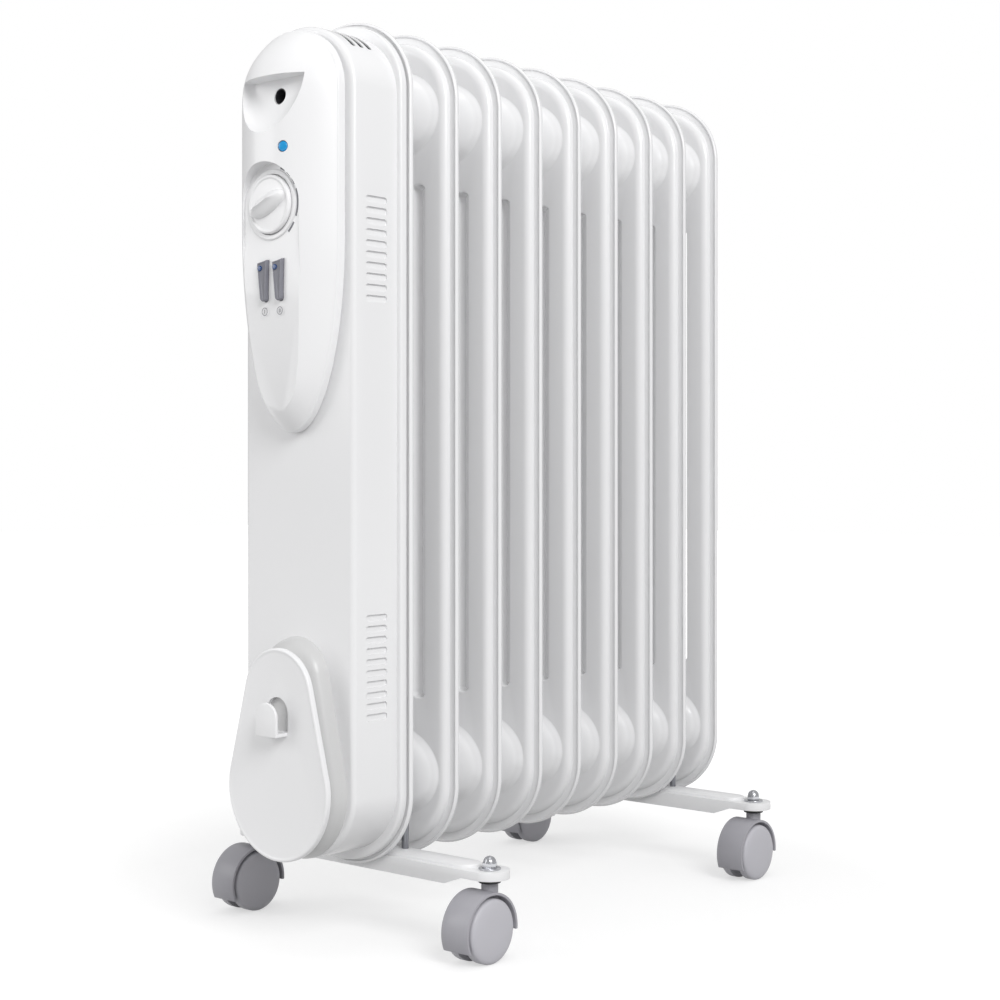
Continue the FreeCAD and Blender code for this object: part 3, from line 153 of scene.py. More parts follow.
def move(x=0, y=0, z=0):
    bpy.ops.transform.translate(value=(x, y, z))


def pick_all():
    bpy.ops.mesh.select_all(action="SELECT")


def move_all(x=0, y=0, z=0):
    pick_all()
    move(x, y, z)


def turn_all(degrees, axis, about):
    """Turn the open piece about a point, clockwise as seen from the axis's plus end."""
    pick_all()
    bpy.ops.transform.rotate(value=math.radians(degrees), orient_axis=axis, center_override=about)


def extrude(y, z=0):
    bpy.ops.mesh.extrude_region_move(TRANSFORM_OT_translate={"value": (0, y, z)})


def follow(points):
    """Inset the picked face along a profile; each point says how far in and how deep it lies, in mm."""
    last = (0, 0)
    for point in points:
        bpy.ops.mesh.inset(thickness=max(point[0] - last[0], 0.0001) * MM, depth=(point[1] - last[1]) * MM)
        last = point


def taper(steps, about):
    """Extrude the picked outline step by step: by its depth in mm, and to shares of the last width and height."""
    for depth, share_x, share_z in steps:
        extrude(depth * MM)
        scale(share_x, 1, share_z, about)


def quarter_turns(steps):
    return [math.pi / 2 * index / steps for index in range(steps + 1)]


def quarter(width, height, steps, start=(0, 0)):
    """Profile points of a quarter ellipse after its start, steep first and level at its end."""
    return [(start[0] + width * (1 - math.cos(t)), start[1] + height * math.sin(t))
            for t in quarter_turns(steps)[1:]]


def outward():
    """Merge doubles and turn all faces outwards."""
    pick_all()
    bpy.ops.mesh.remove_doubles(threshold=0.02 * MM)
    bpy.ops.mesh.normals_make_consistent()


def close():
    """Cap the open back of an extruded face."""
    pick_boundary()
    bpy.ops.mesh.edge_face_add()
    outward()


def pad(depth, points):
    """Bring the picked face forward by a depth, round it along a profile and close the piece."""
    extrude(-depth)
    follow(points)
    close()


def mirror(piece):
    """Turn the piece into its mirror image from left to right, faces outwards."""
    only(piece)
    bpy.ops.object.mode_set(mode="EDIT")
    pick_all()
    scale(-1)
    bpy.ops.mesh.normals_make_consistent()
    leave_edit()
    return piece


def modify(piece, kind, **settings):
    """Give the piece a modifier and apply it."""
    only(piece)
    modifier = piece.modifiers.new(kind.title(), kind)
    for key, value in settings.items():
        setattr(modifier, key, value)
    bpy.ops.object.modifier_apply(modifier=modifier.name)


def carve(piece, tools, operation="DIFFERENCE"):
    """Cut the tools out of the piece, or weld them to it, and take the tools away."""
    for tool in tools:
        modify(piece, "BOOLEAN", object=tool, operation=operation, solver="MANIFOLD")
        bpy.data.objects.remove(tool)


def own_copy(piece, name):
    """A copy of the piece with its own mesh."""
    leave_edit()
    copy = piece.copy()
    copy.data = piece.data.copy()
    copy.name = copy.data.name = name
    bpy.context.collection.objects.link(copy)
    only(copy)
    return copy


def twin(piece, name, x=0, y=0, z=0):
    """A copy with its own mesh, moved in its mesh."""
    copy = own_copy(piece, name)
    move(x, y, z)
    bpy.ops.object.transform_apply()
    return copy


def join(parts, name):
    only(*parts)
    bpy.ops.object.join()
    parts[0].name = parts[0].data.name = name
    return parts[0]


def finished(piece, finish, replaced=(), body="radiator", degrees=35):
    """Shade the piece, give it its material, hang it on its body and hide the parts of the frame that it stands
    for.
    """
    only(piece)
    bpy.ops.object.shade_smooth_by_angle(angle=math.radians(degrees))
    piece.data.materials.clear()
    piece.data.materials.append(material(finish))
    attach(piece, body)
    if replaced:
        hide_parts(*replaced)


# ---- outlines
def arched_face(name, half, low, high, rise_low, rise_high, y):
    """An upright outline with arched ends as one face that looks to the front."""
    piece = disc(name, (0, 0, 0), 1, ROUND, (math.pi / 2, math.pi / ROUND, 0))
    for sign, end, rise in ((1, high - rise_high, rise_high), (-1, low + rise_low, rise_low)):
        pick("VERT", lambda p: 0 < p.z * sign < 1.01)
        scale(half, 1, rise)
        move(0, y, end + sign * ASIDE)
    for sign in (1, -1):
        pick("VERT", lambda p: p.z * sign > ASIDE / 2)
        move(0, 0, -sign * ASIDE)
    pick("FACE")
    return piece


def arch_face(name, half, flat_end, round_end, y, x=0, vertices=48):
    """An upright outline with one flat end and one round end, as one face that looks to the front."""
    up = math.copysign(1, round_end - flat_end)
    centre = round_end - up * half
    piece = disc(name, (x, y, centre), half, vertices)
    pick("VERT", lambda p: (p.z - centre) * up < -1e-5)
    bpy.ops.mesh.delete(type="VERT")
    pick("VERT", lambda p: near(p.z, centre))
    bpy.ops.mesh.extrude_vertices_move(TRANSFORM_OT_translate={"value": (0, 0, flat_end - centre)})
    pick_all()
    bpy.ops.mesh.edge_face_add()
    if bmesh.from_edit_mesh(piece.data).faces[:][0].normal.y > 0:
        bpy.ops.mesh.flip_normals()
    pick("FACE")
    return piece


def arch_prism(name, half, low, high, front, back):
    """A solid arch with a flat foot, between two places in depth."""
    piece = arch_face(name, half, low, high, back)
    extrude(front - back)
    close()
    return piece


def teardrop_face(name, radius_low, z_low, radius_high, z_high, y):
    """The outline round a large circle below and a smaller one above, in mm, as one face."""
    lean = (radius_low - radius_high) / (z_high - z_low)
    piece = disc(name, (0, 0, 0), 1, ROUND)
    pick("VERT", lambda p: lean < p.z < 1.01)
    scale(radius_high * MM, 1, radius_high * MM)
    move(0, y, z_high * MM + ASIDE)
    pick("VERT", lambda p: p.z < 1.01)
    scale(radius_low * MM, 1, radius_low * MM)
    move(0, y, z_low * MM)
    pick("VERT", lambda p: p.z > ASIDE / 2)
    move(0, 0, -ASIDE)
    pick("FACE")
    return piece


def round_tool(name, x, z, radius, low, high, vertices=64):
    """A round cutter between two distances from the housing, in mm."""
    return begin(name, "cylinder", vertices=vertices, radius=radius * MM, depth=(high - low) * MM,
                 location=(x, FACE_Y - (low + high) / 2 * MM, z), rotation=FORWARD)


# ---- finishes
TINT_A, TINT_B, TINT_OUT = 6, 7, 2  # the colour sockets of a Mix node, which share their names with others


def add_node(tree, kind, inputs=None, **settings):
    """Add a node with its settings, and its inputs as values or links; a node stands for its first output."""
    node = tree.nodes.new(kind)
    for key, value in settings.items():
        setattr(node, key, value)
    for key, value in (inputs or {}).items():
        if isinstance(value, bpy.types.Node):
            value = value.outputs[0]
        if isinstance(value, bpy.types.NodeSocket):
            tree.links.new(value, node.inputs[key])
        else:
            node.inputs[key].default_value = value
    return node


def empty_tree(owner):
    owner.use_nodes = True
    owner.node_tree.nodes.clear()
    return owner.node_tree


# each finish: colour, roughness, grain and relief in mm and clouding, then coat, wear, metallic and stretch
FINISHES = {
    # white enamel sprayed on steel and stoved: glossy, with a faint orange peel 3 mm across
    "stove_enamel_white": ("enamel", 0.26, 3.0, 0.008, 0.004, 0.25, 0.01),
    # white ABS from a polished mould: a soft gloss, almost no grain, slight flow clouds
    "moulded_abs_white": ("plastic", 0.3, 1.6, 0.005, 0.004, 0.12, 0.01),
    # painted shade: the spool's neck is greyer than the white ABS, standing in for the shade that the plate casts
    # on it; from a polished mould, a soft gloss
    "moulded_abs_greyed": ("neck", 0.34, 1.6, 0.005, 0.008, 0.1),
    # white powder coat on the pressed foot bars: fine pebbled relief under 1 mm
    "powder_coat_white": ("powder", 0.34, 0.9, 0.015, 0.015),
    # grey glass-filled nylon from a spark-eroded mould: satin with a fine sparkle of grain
    "moulded_nylon_grey": ("hood", 0.42, 0.5, 0.015, 0.03),
    # pale grey moulded nylon wheels: satin, scuffed a little by floors
    "moulded_nylon_pale": ("wheel", 0.46, 0.7, 0.02, 0.05),
    # mid grey moulded ABS rockers: satin, with a fine eroded grain
    "moulded_abs_grey": ("rocker", 0.38, 0.5, 0.012, 0.03),
    # black moulded nylon collars and terminals: a dull surface
    "moulded_nylon_black": ("black", 0.5, 0.6, 0.02, 0.1),
    # black oxide on the screw, its own finish, and on its cup, painted shade lining the screw well: dark with a
    # dull oily sheen
    "black_oxide_steel": ("oxide", 0.4, 0.5, 0.01, 0.1),
    # painted shade: a matt black fill behind the top slits that stands in for the shade inside them, its grain
    # drawn coarse, at 2 mm, so that it shows
    "woven_gauze_black": ("gauze", 0.8, 2.0, 0.1, 0.2),
    # mid grey pad-printing ink: thin, even and slightly matt
    "pad_printed_ink": ("ink", 0.55, 0.8, 0.004, 0.06),
    # bright zinc plate on steel: metallic, with cloudy passivation and fine drawn lines
    "zinc_plate_bright": ("zinc", 0.2, 0.6, 0.008, 0.06, 0, 0.06, 1, (1, 1, 0.15)),
    # duller zinc on the bolts' rolled thread: relief drawn out level, about 1 mm from crest to crest
    "zinc_rolled_thread": ("thread", 0.34, 1.0, 0.12, 0.1, 0, 0.06, 1, (0.1, 0.1, 1)),
    # plated sheet steel inside the housing: metallic, with rolled lines
    "rolled_sheet_steel": ("steel", 0.34, 0.8, 0.01, 0.08, 0, 0.06, 1, (1, 1, 0.08)),
    # blue moulded polycarbonate lamp lens: smooth, bright, with a thin clear skin
    "moulded_lens_blue": ("lens", 0.22, 1.0, 0.003, 0.06, 0.15),
    # deep blue inlays moulded into the rockers: polished
    "moulded_inlay_blue": ("inlay", 0.2, 1.0, 0.003, 0.06, 0.4),
}


def material(name):
    """A finish of the table, made when first asked for."""
    shade, *settings = FINISHES[name]
    return bpy.data.materials.get(name) or surface(
        name, getattr(bpy.context.scene.heater_colours, shade), *settings)


def surface(name, shade, roughness, grain_mm, relief_mm, cloud, coat=0, wear=0.06, metallic=0, stretch=(1, 1, 1)):
    """A finish with clouds 60 mm wide in its colour and gloss, and a grain of the given size as relief."""
    made = bpy.data.materials.new(name)
    tree = empty_tree(made)
    place = add_node(tree, "ShaderNodeTexCoord").outputs["Object"]
    spread = add_node(tree, "ShaderNodeMapping", {"Vector": place, "Scale": stretch})
    clouds = add_node(tree, "ShaderNodeTexNoise", {"Vector": place, "Scale": 1 / (60 * MM), "Detail": 4,
                                                   "Roughness": 0.55})
    dark, light = ([min(1, c * share) for c in shade] + [1] for share in (1 - cloud, 1 + cloud))
    tint = add_node(tree, "ShaderNodeMix", {"Factor": clouds, TINT_A: dark, TINT_B: light}, data_type="RGBA")
    grain = add_node(tree, "ShaderNodeTexNoise", {"Vector": spread, "Scale": 1 / (grain_mm * MM), "Detail": 3})
    gloss = add_node(tree, "ShaderNodeMapRange", {
        "Value": clouds, "From Min": 0.3, "From Max": 0.7, "To Min": roughness * (1 - wear * 2),
        "To Max": roughness * (1 + wear * 2)})
    relief = add_node(tree, "ShaderNodeBump", {"Height": grain, "Distance": relief_mm * MM})
    shader = add_node(tree, "ShaderNodeBsdfPrincipled", {
        "Base Color": tint.outputs[TINT_OUT], "Roughness": gloss, "Normal": relief,
        "Metallic": metallic, "Coat Weight": coat, "Coat Roughness": 0.12})
    add_node(tree, "ShaderNodeOutputMaterial", {"Surface": shader})
    return made


# ---- oil sections
SECTION_RISE = 53.5 * MM  # height of a section's round end
HEADER_DROP = 60 * MM  # from a section's end to the middle of its header
SLOT_X, SLOT_LOW, SLOT_HIGH = 27.9 * MM, 162 * MM, 523 * MM
SLOT_RADIUS, SLOT_SQUASH = 7.1 * MM, 0.65


def model_section(sizes):
    """One section: welded rim bead, flange, tank shoulder, header domes and sleeved air slots."""
    bead, flange, half_tank = sizes.bead / MM, sizes.flange / MM, sizes.tank / MM / 2
    half_bead, half_flange, root = 1.8, 0.9, 1.5  # half the thickness of bead, flange and shoulder's root
    section = arched_face("oil_section_1", SECTION_HALF, SECTION_LOW, SECTION_HIGH,
                          SECTION_RISE, SECTION_RISE, 0)
    points = []
    for degrees in range(25, 151, 25):
        angle = math.radians(degrees)
        points.append((bead / 2 * (1 - math.cos(angle)), half_bead * math.sin(angle)))
    points += [(bead + 0.5, half_flange), (flange - 0.7, half_flange), (flange - 0.15, 1.1)]
    points += quarter(sizes.shoulder / MM, half_tank - root, 8, start=(flange, root))
    points.append((points[-1][0] + 1, half_tank))
    follow(points)
    bpy.ops.mesh.delete(type="ONLY_FACE")
    face = -half_tank * MM
    for z in (SECTION_LOW + HEADER_DROP, SECTION_HIGH - HEADER_DROP):
        add_dome(z, face)
    for x in (-SLOT_X, SLOT_X):
        add_slot_sleeve(x, face)
    pick("EDGE", lambda p: near(p.y, face), lambda item: item.is_boundary)
    bpy.ops.mesh.fill()
    outward()
    modify(section, "MIRROR", use_axis=(False, True, False), use_clip=True, merge_threshold=0.02 * MM)
    bpy.ops.object.mode_set(mode="EDIT")
    outward()
    return section


def add_disc(place, radius, vertices, turn=FORWARD):
    """Add a round face to the open piece and pick it."""
    bpy.ops.mesh.select_all(action="DESELECT")
    bpy.ops.mesh.primitive_circle_add(vertices=vertices, radius=radius, fill_type="NGON",
                                      location=place, rotation=turn)


def add_dome(z, face):
    """Rings of the header dome and its neck, from the tank face out to the weld."""
    wide, tall, deep, neck = 48.2, 32.5, 20.0, 29.0
    # half width, half height, and distance from the section's middle plane, in mm
    rings = [(47.9, 32.9, 6.0), (47.1, 32.1, 6.25), (46.5, 31.5, 6.9)]
    for depth in (8, 9.5, 11, 12.5, 14, 15, 15.8):
        share = math.sqrt(1 - (depth / deep) ** 2)
        rings.append((max(neck, wide * share), max(neck, tall * share), depth))
    rings += [(neck + 0.4, neck, 16.6), (neck, neck, 17.6), (neck, neck, 22.4), (neck - 0.4, neck - 0.4, 22.7),
              (neck - 0.5, neck - 0.5, 23.0)]
    add_disc((0, face, z), 1, 64)
    bpy.ops.mesh.select_mode(type="FACE")
    x_now, z_now, depth_now = 1, 1, rings[0][2]
    for ring_x, ring_z, depth in rings:
        if depth > depth_now:
            extrude(-(depth - depth_now) * MM)
        scale(ring_x * MM / x_now, 1, ring_z * MM / z_now, (0, face, z))
        x_now, z_now, depth_now = ring_x * MM, ring_z * MM, depth


def add_slot_sleeve(x, face):
    """An air slot: rolled lip on the tank face and a sleeve through to the middle plane."""
    sides = 32
    add_disc((x, face, 0), SLOT_RADIUS, sides, (math.pi / 2, math.pi / sides, 0))
    scale(1, 1, SLOT_SQUASH)
    for sign, end in ((1, SLOT_HIGH), (-1, SLOT_LOW)):
        pick("VERT", lambda p: 0 < p.z * sign < 10 * MM and near(p.x, x, 9 * MM))
        move(0, 0, end - sign * SLOT_RADIUS * SLOT_SQUASH)
    pick("FACE", lambda p: near(p.x, x, 2 * MM) and near(p.z, (SLOT_LOW + SLOT_HIGH) / 2, 4 * MM),
         lambda item: len(item.verts) == sides)
    lip = [(0.5, -0.08), (0.95, -0.35), (1.25, -0.8), (1.4, -1.4)]
    follow(lip)
    extrude(-face + lip[-1][1] * MM)
    bpy.ops.mesh.delete(type="ONLY_FACE")


def model_oil_sections(sizes):
    """One section pressed as a master, and a copy of it for each place in the stack."""
    master = model_section(sizes)
    for index, node in enumerate(SECTIONS):
        piece = twin(master, f"oil_section_{index + 1}", y=FIRST_Y + PITCH * index)
        names = [node, "header_domes"] if index == 0 else [node]
        finished(piece, "stove_enamel_white", names, degrees=40)
    bpy.data.objects.remove(master)


# ---- housing
HOUSING_HALF, HOUSING_RISE = 52.5 * MM, 46 * MM
HOUSING_LOW, HOUSING_HIGH = SECTION_LOW + 10.5 * MM, SECTION_HIGH - 11 * MM
SLIT_SHADE_GAP = 0.8 * MM  # between the painted shade fill of the slits and the outside of the housing
LOUVRE_COUNT = 10
LOUVRE_ROWS = (SECTION_LOW + 105.5 * MM, SECTION_HIGH - 197.5 * MM)
LOUVRE_Y = SHIELD_Y - 19.2 * MM


def model_heat_shield():
    """The tray between the housing and the first section, with a rolled front edge."""
    margin, rise, roll = 3.5 * MM, 50 * MM, 1.5
    front = SHIELD_Y + roll * MM
    shield = arched_face("heat_shield_tray", SECTION_HALF - margin, SECTION_LOW + margin,
                         SECTION_HIGH - margin, rise, rise, front)
    follow(quarter(roll, roll, 4) + [(2 * roll, roll)])
    pick_boundary()
    extrude(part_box("heat_shield")[1].y - front)
    outward()
    modify(shield, "SOLIDIFY", thickness=0.8 * MM, offset=-1)
    finished(shield, "stove_enamel_white", ["heat_shield"])


def housing_face(name, y, gap=0.0):
    """The housing's upright outline, or one that lies inside it by the gap."""
    return arched_face(name, HOUSING_HALF - gap, HOUSING_LOW + gap, HOUSING_HIGH - gap,
                       HOUSING_RISE - gap, HOUSING_RISE - gap, y)


def model_housing(sizes):
    """The deep-drawn control housing with pressed side louvres and top slits, and a black fill behind the slits as
    painted shade.
    """
    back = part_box("housing_shell")[1]
    edge = sizes.housing_edge / MM
    depth = back.y - FACE_Y - edge * MM
    shell = housing_face("control_housing", FACE_Y + edge * MM)
    follow(quarter(edge, edge, 6) + [(edge + 1, edge)])
    pick_boundary()
    extrude(depth)
    outward()
    modify(shell, "SOLIDIFY", thickness=sizes.housing_wall, offset=-1)
    carve(shell, [louvre_tool(sizes), slit_tool(back)])
    finished(shell, "stove_enamel_white", ["housing_shell"], degrees=32)
    # painted shade: a black fill inside the housing, cut to the slits, stands in for the shade seen through them
    gauze = housing_face("slit_gauze", FACE_Y + 2 * edge * MM, SLIT_SHADE_GAP)
    extrude(depth - 2 * edge * MM)
    close()
    carve(gauze, [slit_tool(back)], "INTERSECT")
    finished(gauze, "woven_gauze_black")


def louvre_tool(sizes):
    """Wedges with round ends that press the louvres in, deepest along their top edge."""
    tall = sizes.louvre_height
    tool = begin("louvre_tool", "cube", size=1, location=(HOUSING_HALF, LOUVRE_Y, 0),
                 scale=(5 * MM, sizes.louvre_length, tall))
    for sign, shallower in ((-1, 1.5 * MM), (1, 0.9 * MM)):
        pick("VERT", lambda p: p.x < HOUSING_HALF and p.z * sign > 0)
        move(shallower)
    pick("EDGE", form=lambda item: not apart(item, 1) and not apart(item, 2))
    bpy.ops.mesh.bevel(offset=0.44 * tall, segments=5)
    heights = [low + index * sizes.louvre_pitch + tall / 2 for low in LOUVRE_ROWS for index in range(LOUVRE_COUNT)]
    parts = [twin(tool, "louvre_cut", z=z) for z in heights]
    parts += [mirror(twin(tool, "louvre_cut", z=z)) for z in heights]
    bpy.data.objects.remove(tool)
    return join(parts, "louvre_tools")


def slit_tool(back):
    """Three slits over each top shoulder."""
    across, pitch, width, length, tall = (v * MM for v in (28.5, 7.7, 4, 23, 32))
    tool = begin("slit_tool", "cube", size=1, location=(0, (back.y + FACE_Y) / 2, back.z - tall / 2),
                 scale=(length, width, tall))
    pick("EDGE", form=lambda item: apart(item, 2))
    bpy.ops.mesh.bevel(offset=1.2 * MM, segments=3)
    parts = [twin(tool, "slit_cut", x=side * across, y=index * pitch) for side in (1, -1) for index in (-1, 0, 1)]
    bpy.data.objects.remove(tool)
    return join(parts, "slit_tools")


# ---- control panel
PANEL_HALF = 44.7  # in mm, as the heights of the panel's tip, straight sides and top are
PANEL_TIP, PANEL_WAIST, PANEL_SHOULDER, PANEL_TOP = 348.5, 475, 574, 615
STRIP_Y = FACE_Y - 24 * MM  # the flat strip that carries the knob and the rockers
LAMP_SEAT = middle_of("lamp_lens")
LAMP_SEAT.y = FACE_Y - 29.6 * MM
LAMP_TURN = 17  # degrees by which the bulge, and the lamp in it, face aside
SCREW_X, SCREW_Z = 0.6 * MM, 570.7 * MM
DIAL_GAP = 0.6  # round the dial, in mm


def bulge_height(z):
    """How far the panel's middle line stands above its rim, by height in mm."""
    crest, fall = 25.4, 8.5
    brow, chest, toe = 560, 490, 385
    if z >= brow:
        return crest * max(0, 1 - ((z - brow) / 55.5) ** 2.6)
    height = crest - fall * (max(0, chest - z) / 115) ** 1.5
    if z < toe:
        height *= max(0, 1 - (1 - (z - PANEL_TIP) / (toe - PANEL_TIP)) ** 2.4)
    return height


def panel_rows():
    """Height and half width of the rows from the tip to the top of the panel, in mm."""
    lower, straight, upper = 28, 12, 18
    rows = [(PANEL_WAIST - (PANEL_WAIST - PANEL_TIP) * math.cos(t), PANEL_HALF * math.sin(t))
            for t in quarter_turns(lower)]
    rows += [(PANEL_WAIST + (PANEL_SHOULDER - PANEL_WAIST) * i / straight, PANEL_HALF)
             for i in range(1, straight + 1)]
    rows += [(PANEL_SHOULDER + (PANEL_TOP - PANEL_SHOULDER) * math.sin(t), PANEL_HALF * math.cos(t))
             for t in quarter_turns(upper)[1:]]
    return rows


def loft_panel(rim):
    """The bulge as a grid, its columns set to the section and its rows to their place, with an upright rim."""
    rows = panel_rows()
    columns, fullness, lift, thin = 44, 2.4, 0.001, 0.001
    panel = begin("control_panel_cover", "grid", x_subdivisions=columns, y_subdivisions=len(rows) - 1,
                  size=2, rotation=FORWARD)
    for index in range(columns // 2 + 1):
        at = 2 * index / columns
        across = math.sin(at * math.pi / 2)
        pick("VERT", lambda p: near(abs(p.x), at) and near(p.y, 0))
        scale(across / at if at else 1, 1, 1)
        move(0, across ** fullness - 1 - lift, 0)  # lifted, a placed column isn't picked again
    move_all(0, lift)
    for index, (z, half) in enumerate(rows):
        at = -1 + 2 * index / (len(rows) - 1)
        pick("VERT", lambda p: near(p.z, at))
        scale(max(half, thin) * MM, max(bulge_height(z), thin) * MM, 1)
        move(0, 0, z * MM - at + FAR_ASIDE)
    move_all(0, FACE_Y - rim * MM, -FAR_ASIDE)
    bpy.ops.mesh.remove_doubles(threshold=0.03 * MM)
    pick_boundary()
    taper([(0.25, 1.012, 1.004), (0.5, 1.009, 1.003), (0.8, 1.004, 1.0015), (rim - 3.15, 1, 1),
           (0.3, 0.985, 0.994), (1.3, 0.97, 0.99)], (0, 0, 482 * MM))
    close()
    return panel


def model_control_panel(sizes):
    """The bulged control panel, with its strip, finger recess and openings cut in."""
    panel = loft_panel(sizes.panel_rim / MM)
    strip = drafted_tool("strip_tool", 27, 350, 525, 27, 27, 450)
    tongue = drafted_tool("tongue_tool", 26.8, 352, 470, 26.8, 10, 410)
    turn_all(-4.3, "X", (0, STRIP_Y, 440 * MM))  # the strip's lower end leans back
    lamp_hole = round_tool("lamp_hole", LAMP_SEAT.x, LAMP_SEAT.z, 3.8, 20, 50)
    turn_all(-LAMP_TURN, "Z", LAMP_SEAT)
    carve(panel, [strip, tongue, recess_tool(),
                  round_tool("knob_pocket", 0, KNOB_Z, sizes.dial_radius / MM + DIAL_GAP, 20, 40),
                  lamp_hole, round_tool("screw_well", SCREW_X, SCREW_Z, 5.5, 4, 30),
                  rocker_tool(-1, sizes), rocker_tool(1, sizes)])
    finished(panel, "moulded_abs_white", ["control_panel"], degrees=28)


def drafted_tool(name, half, low, high, rise_low, rise_high, middle):
    """An arched cutter that opens outwards from the strip's floor; its walls have a draft."""
    tool = arched_face(name, half * MM, low * MM, high * MM, rise_low * MM, rise_high * MM, STRIP_Y)
    extrude(-16 * MM)
    scale(1.06, 1, 1.012, (0, 0, middle * MM))
    close()
    return tool


def recess_tool():
    """The finger recess: straight lip above, half-moon below, its floor rising to the lower edge."""
    half, drop, lip = 30.5 * MM, 37.5 * MM, 582.2 * MM
    tool = disc("recess_tool", (0, FACE_Y - 45 * MM, 0), 1, 72)
    pick("VERT", lambda p: p.z > 0.001)
    bpy.ops.mesh.delete(type="VERT")
    pick_all()
    scale(half, 1, drop)
    move(0, 0, lip)
    bpy.ops.mesh.edge_face_add()
    taper([(13, 1, 1), (3, 0.995, 0.975), (3.2, 0.99, 0.94), (3, 0.98, 0.88), (2.6, 0.97, 0.8),
           (2.2, 0.95, 0.7), (1.4, 0.92, 0.55)], (0, 0, lip))
    close()
    return tool


# ---- knob, rockers and lamp
ROCKER_X, ROCKER_LOW, ROCKER_HIGH = 7.25 * MM, 434 * MM, 461.5 * MM


def model_thermostat_knob(sizes):
    """A flat dial with a rounded rim and a broad lens-shaped ridge to turn it by."""
    seat = STRIP_Y - 0.3 * MM
    centre = (0, seat, KNOB_Z)
    knob = disc("thermostat_dial", centre, sizes.dial_radius, ROUND)
    pad(2 * MM, [(0.15, 0.5), (0.5, 0.9), (1.1, 1.15), (1.8, 1.15), (2.3, 0.95), (2.6, 0.6), (2.9, 0.45),
                 (4.5, 0.5), (8, 0.8), (12, 1.1)])
    grip = disc("dial_grip", (0, seat - 1.2 * MM, KNOB_Z), 1, 64)
    scale(sizes.dial_radius * 0.84, 1, 6.6 * MM, centre)
    extrude(-2 * MM)
    taper([(-1.1, 1 - (1 - share) * 0.35, share) for share in (0.97, 0.92, 0.83, 0.7, 0.53, 0.34, 0.18)], centre)
    close()
    turn_all(24, "Y", centre)
    carve(knob, [grip], "UNION")
    finished(knob, "moulded_abs_white", ["thermostat_knob"], "thermostat_knob", 28)


def model_dial_bezel(sizes):
    """The flat ring round the dial, with a rounded outer edge."""
    bezel = disc("dial_bezel", (0, STRIP_Y + 0.4 * MM, KNOB_Z), sizes.dial_radius + 3.9 * MM, ROUND)
    pad(0.9 * MM, [(0.15, 0.3), (0.45, 0.5), (0.9, 0.6), (1.5, 0.55), (3.1, 0.2)])
    carve(bezel, [round_tool("bezel_bore", 0, KNOB_Z, sizes.dial_radius / MM + DIAL_GAP, 15, 45, ROUND)])
    finished(bezel, "moulded_abs_white")


def printed_arc(radius, width, start, stop, centre):
    """A thin printed band on the strip, from start to stop degrees clockwise from the top."""
    count = max(6, int((stop - start) / 4))
    x, z = centre
    band = begin("printed_arc", "grid", x_subdivisions=count, y_subdivisions=1, size=2,
                 location=(0, STRIP_Y - 0.04 * MM, 0), rotation=FORWARD)
    for index in range(count + 1):
        at = -1 + 2 * index / count
        turn = math.radians(start + (stop - start) * index / count)
        for side in (-1, 1):
            reach = radius + side * width / 2
            pick("VERT", lambda p: near(p.x, at) and near(p.z, side))
            move(x + reach * math.sin(turn) - at + FAR_ASIDE, 0, z + reach * math.cos(turn) - side)
    move_all(-FAR_ASIDE)
    outward()
    modify(band, "SOLIDIFY", thickness=0.06 * MM, offset=1)
    return band


def model_prints(sizes):
    """Pad-printed scale round the dial and a one and a two in rings under the rockers."""
    ring = sizes.dial_radius + 5.4 * MM
    bands = [printed_arc(ring, 1.5 * MM, start, stop, (0, KNOB_Z))
             for start, stop in ((20, 30), (36, 46), (52, 62), (70, 112), (122, 140))]
    for x, strokes in ((-6.8 * MM, 1), (7.8 * MM, 2)):
        centre = (x, 427.5 * MM)
        bands.append(printed_arc(2.5 * MM, 0.35 * MM, 0, 359.9, centre))
        for index in range(strokes):
            place = (x + (index - (strokes - 1) / 2) * 1.1 * MM, STRIP_Y - 0.05 * MM, centre[1])
            bands.append(begin("printed_stroke", "cube", size=1, location=place,
                               scale=(0.4 * MM, 0.06 * MM, 2.4 * MM)))
    finished(join(bands, "printed_scale"), "pad_printed_ink")


def rocker_face(name, side, y, sizes, gap=0.0):
    """A rocker's outline, larger by the gap: wide and slanted above, round and narrow below."""
    half = sizes.rocker_top + gap
    x, low = side * ROCKER_X, ROCKER_LOW - gap
    piece = arch_face(name, half, ROCKER_HIGH + gap, low, y, x, 32)
    taper = sizes.rocker_foot / sizes.rocker_top
    pick("VERT", lambda p: p.z < low + half + 1e-5)
    scale(taper, 1, taper, (x, y, low))
    move(1.3 * MM)
    pick("VERT", lambda p: p.z > ROCKER_HIGH - 0.5 * MM and p.x < x)
    move(0, 0, -1.7 * MM)
    pick("FACE")
    return piece


def rocker_tool(side, sizes):
    """The opening that a rocker tilts in."""
    tool = rocker_face("rocker_tool", side, FACE_Y - 30 * MM, sizes, 0.45 * MM)
    extrude(18 * MM)
    close()
    return tool


def model_rockers(sizes):
    """Two grey rockers with dished faces, each with a blue mark."""
    for side, node in ((-1, "rocker_low"), (1, "rocker_high")):
        low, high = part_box(node)
        root = high.y - 2 * MM
        rocker = rocker_face(f"{node}_button", side, root, sizes)
        pad(root - low.y - 1 * MM, [(0.2, 0.4), (0.5, 0.75), (0.8, 0.8), (1.2, 0.5), (1.7, 0.2)])
        pick("VERT", lambda p: p.z < 441.8 * MM and p.y < low.y + 4 * MM)
        move(0, -0.4 * MM)
        finished(rocker, "moulded_abs_grey", [node], node, 32)
        mark = round_button(f"{node}_mark", side * ROCKER_X - 1.8 * MM, 456.2 * MM, 1.9, low.y - 0.3 * MM, 1.4 * MM)
        finished(mark, "moulded_inlay_blue", (), node, 40)


def round_button(name, x, z, radius, front, depth):
    """A small round pad with a rounded face; its radius is in mm."""
    piece = disc(name, (x, front + depth, z), radius * MM, 24)
    edge = radius * 0.35
    pad(depth - edge * MM, quarter(edge, edge, 4))
    return piece


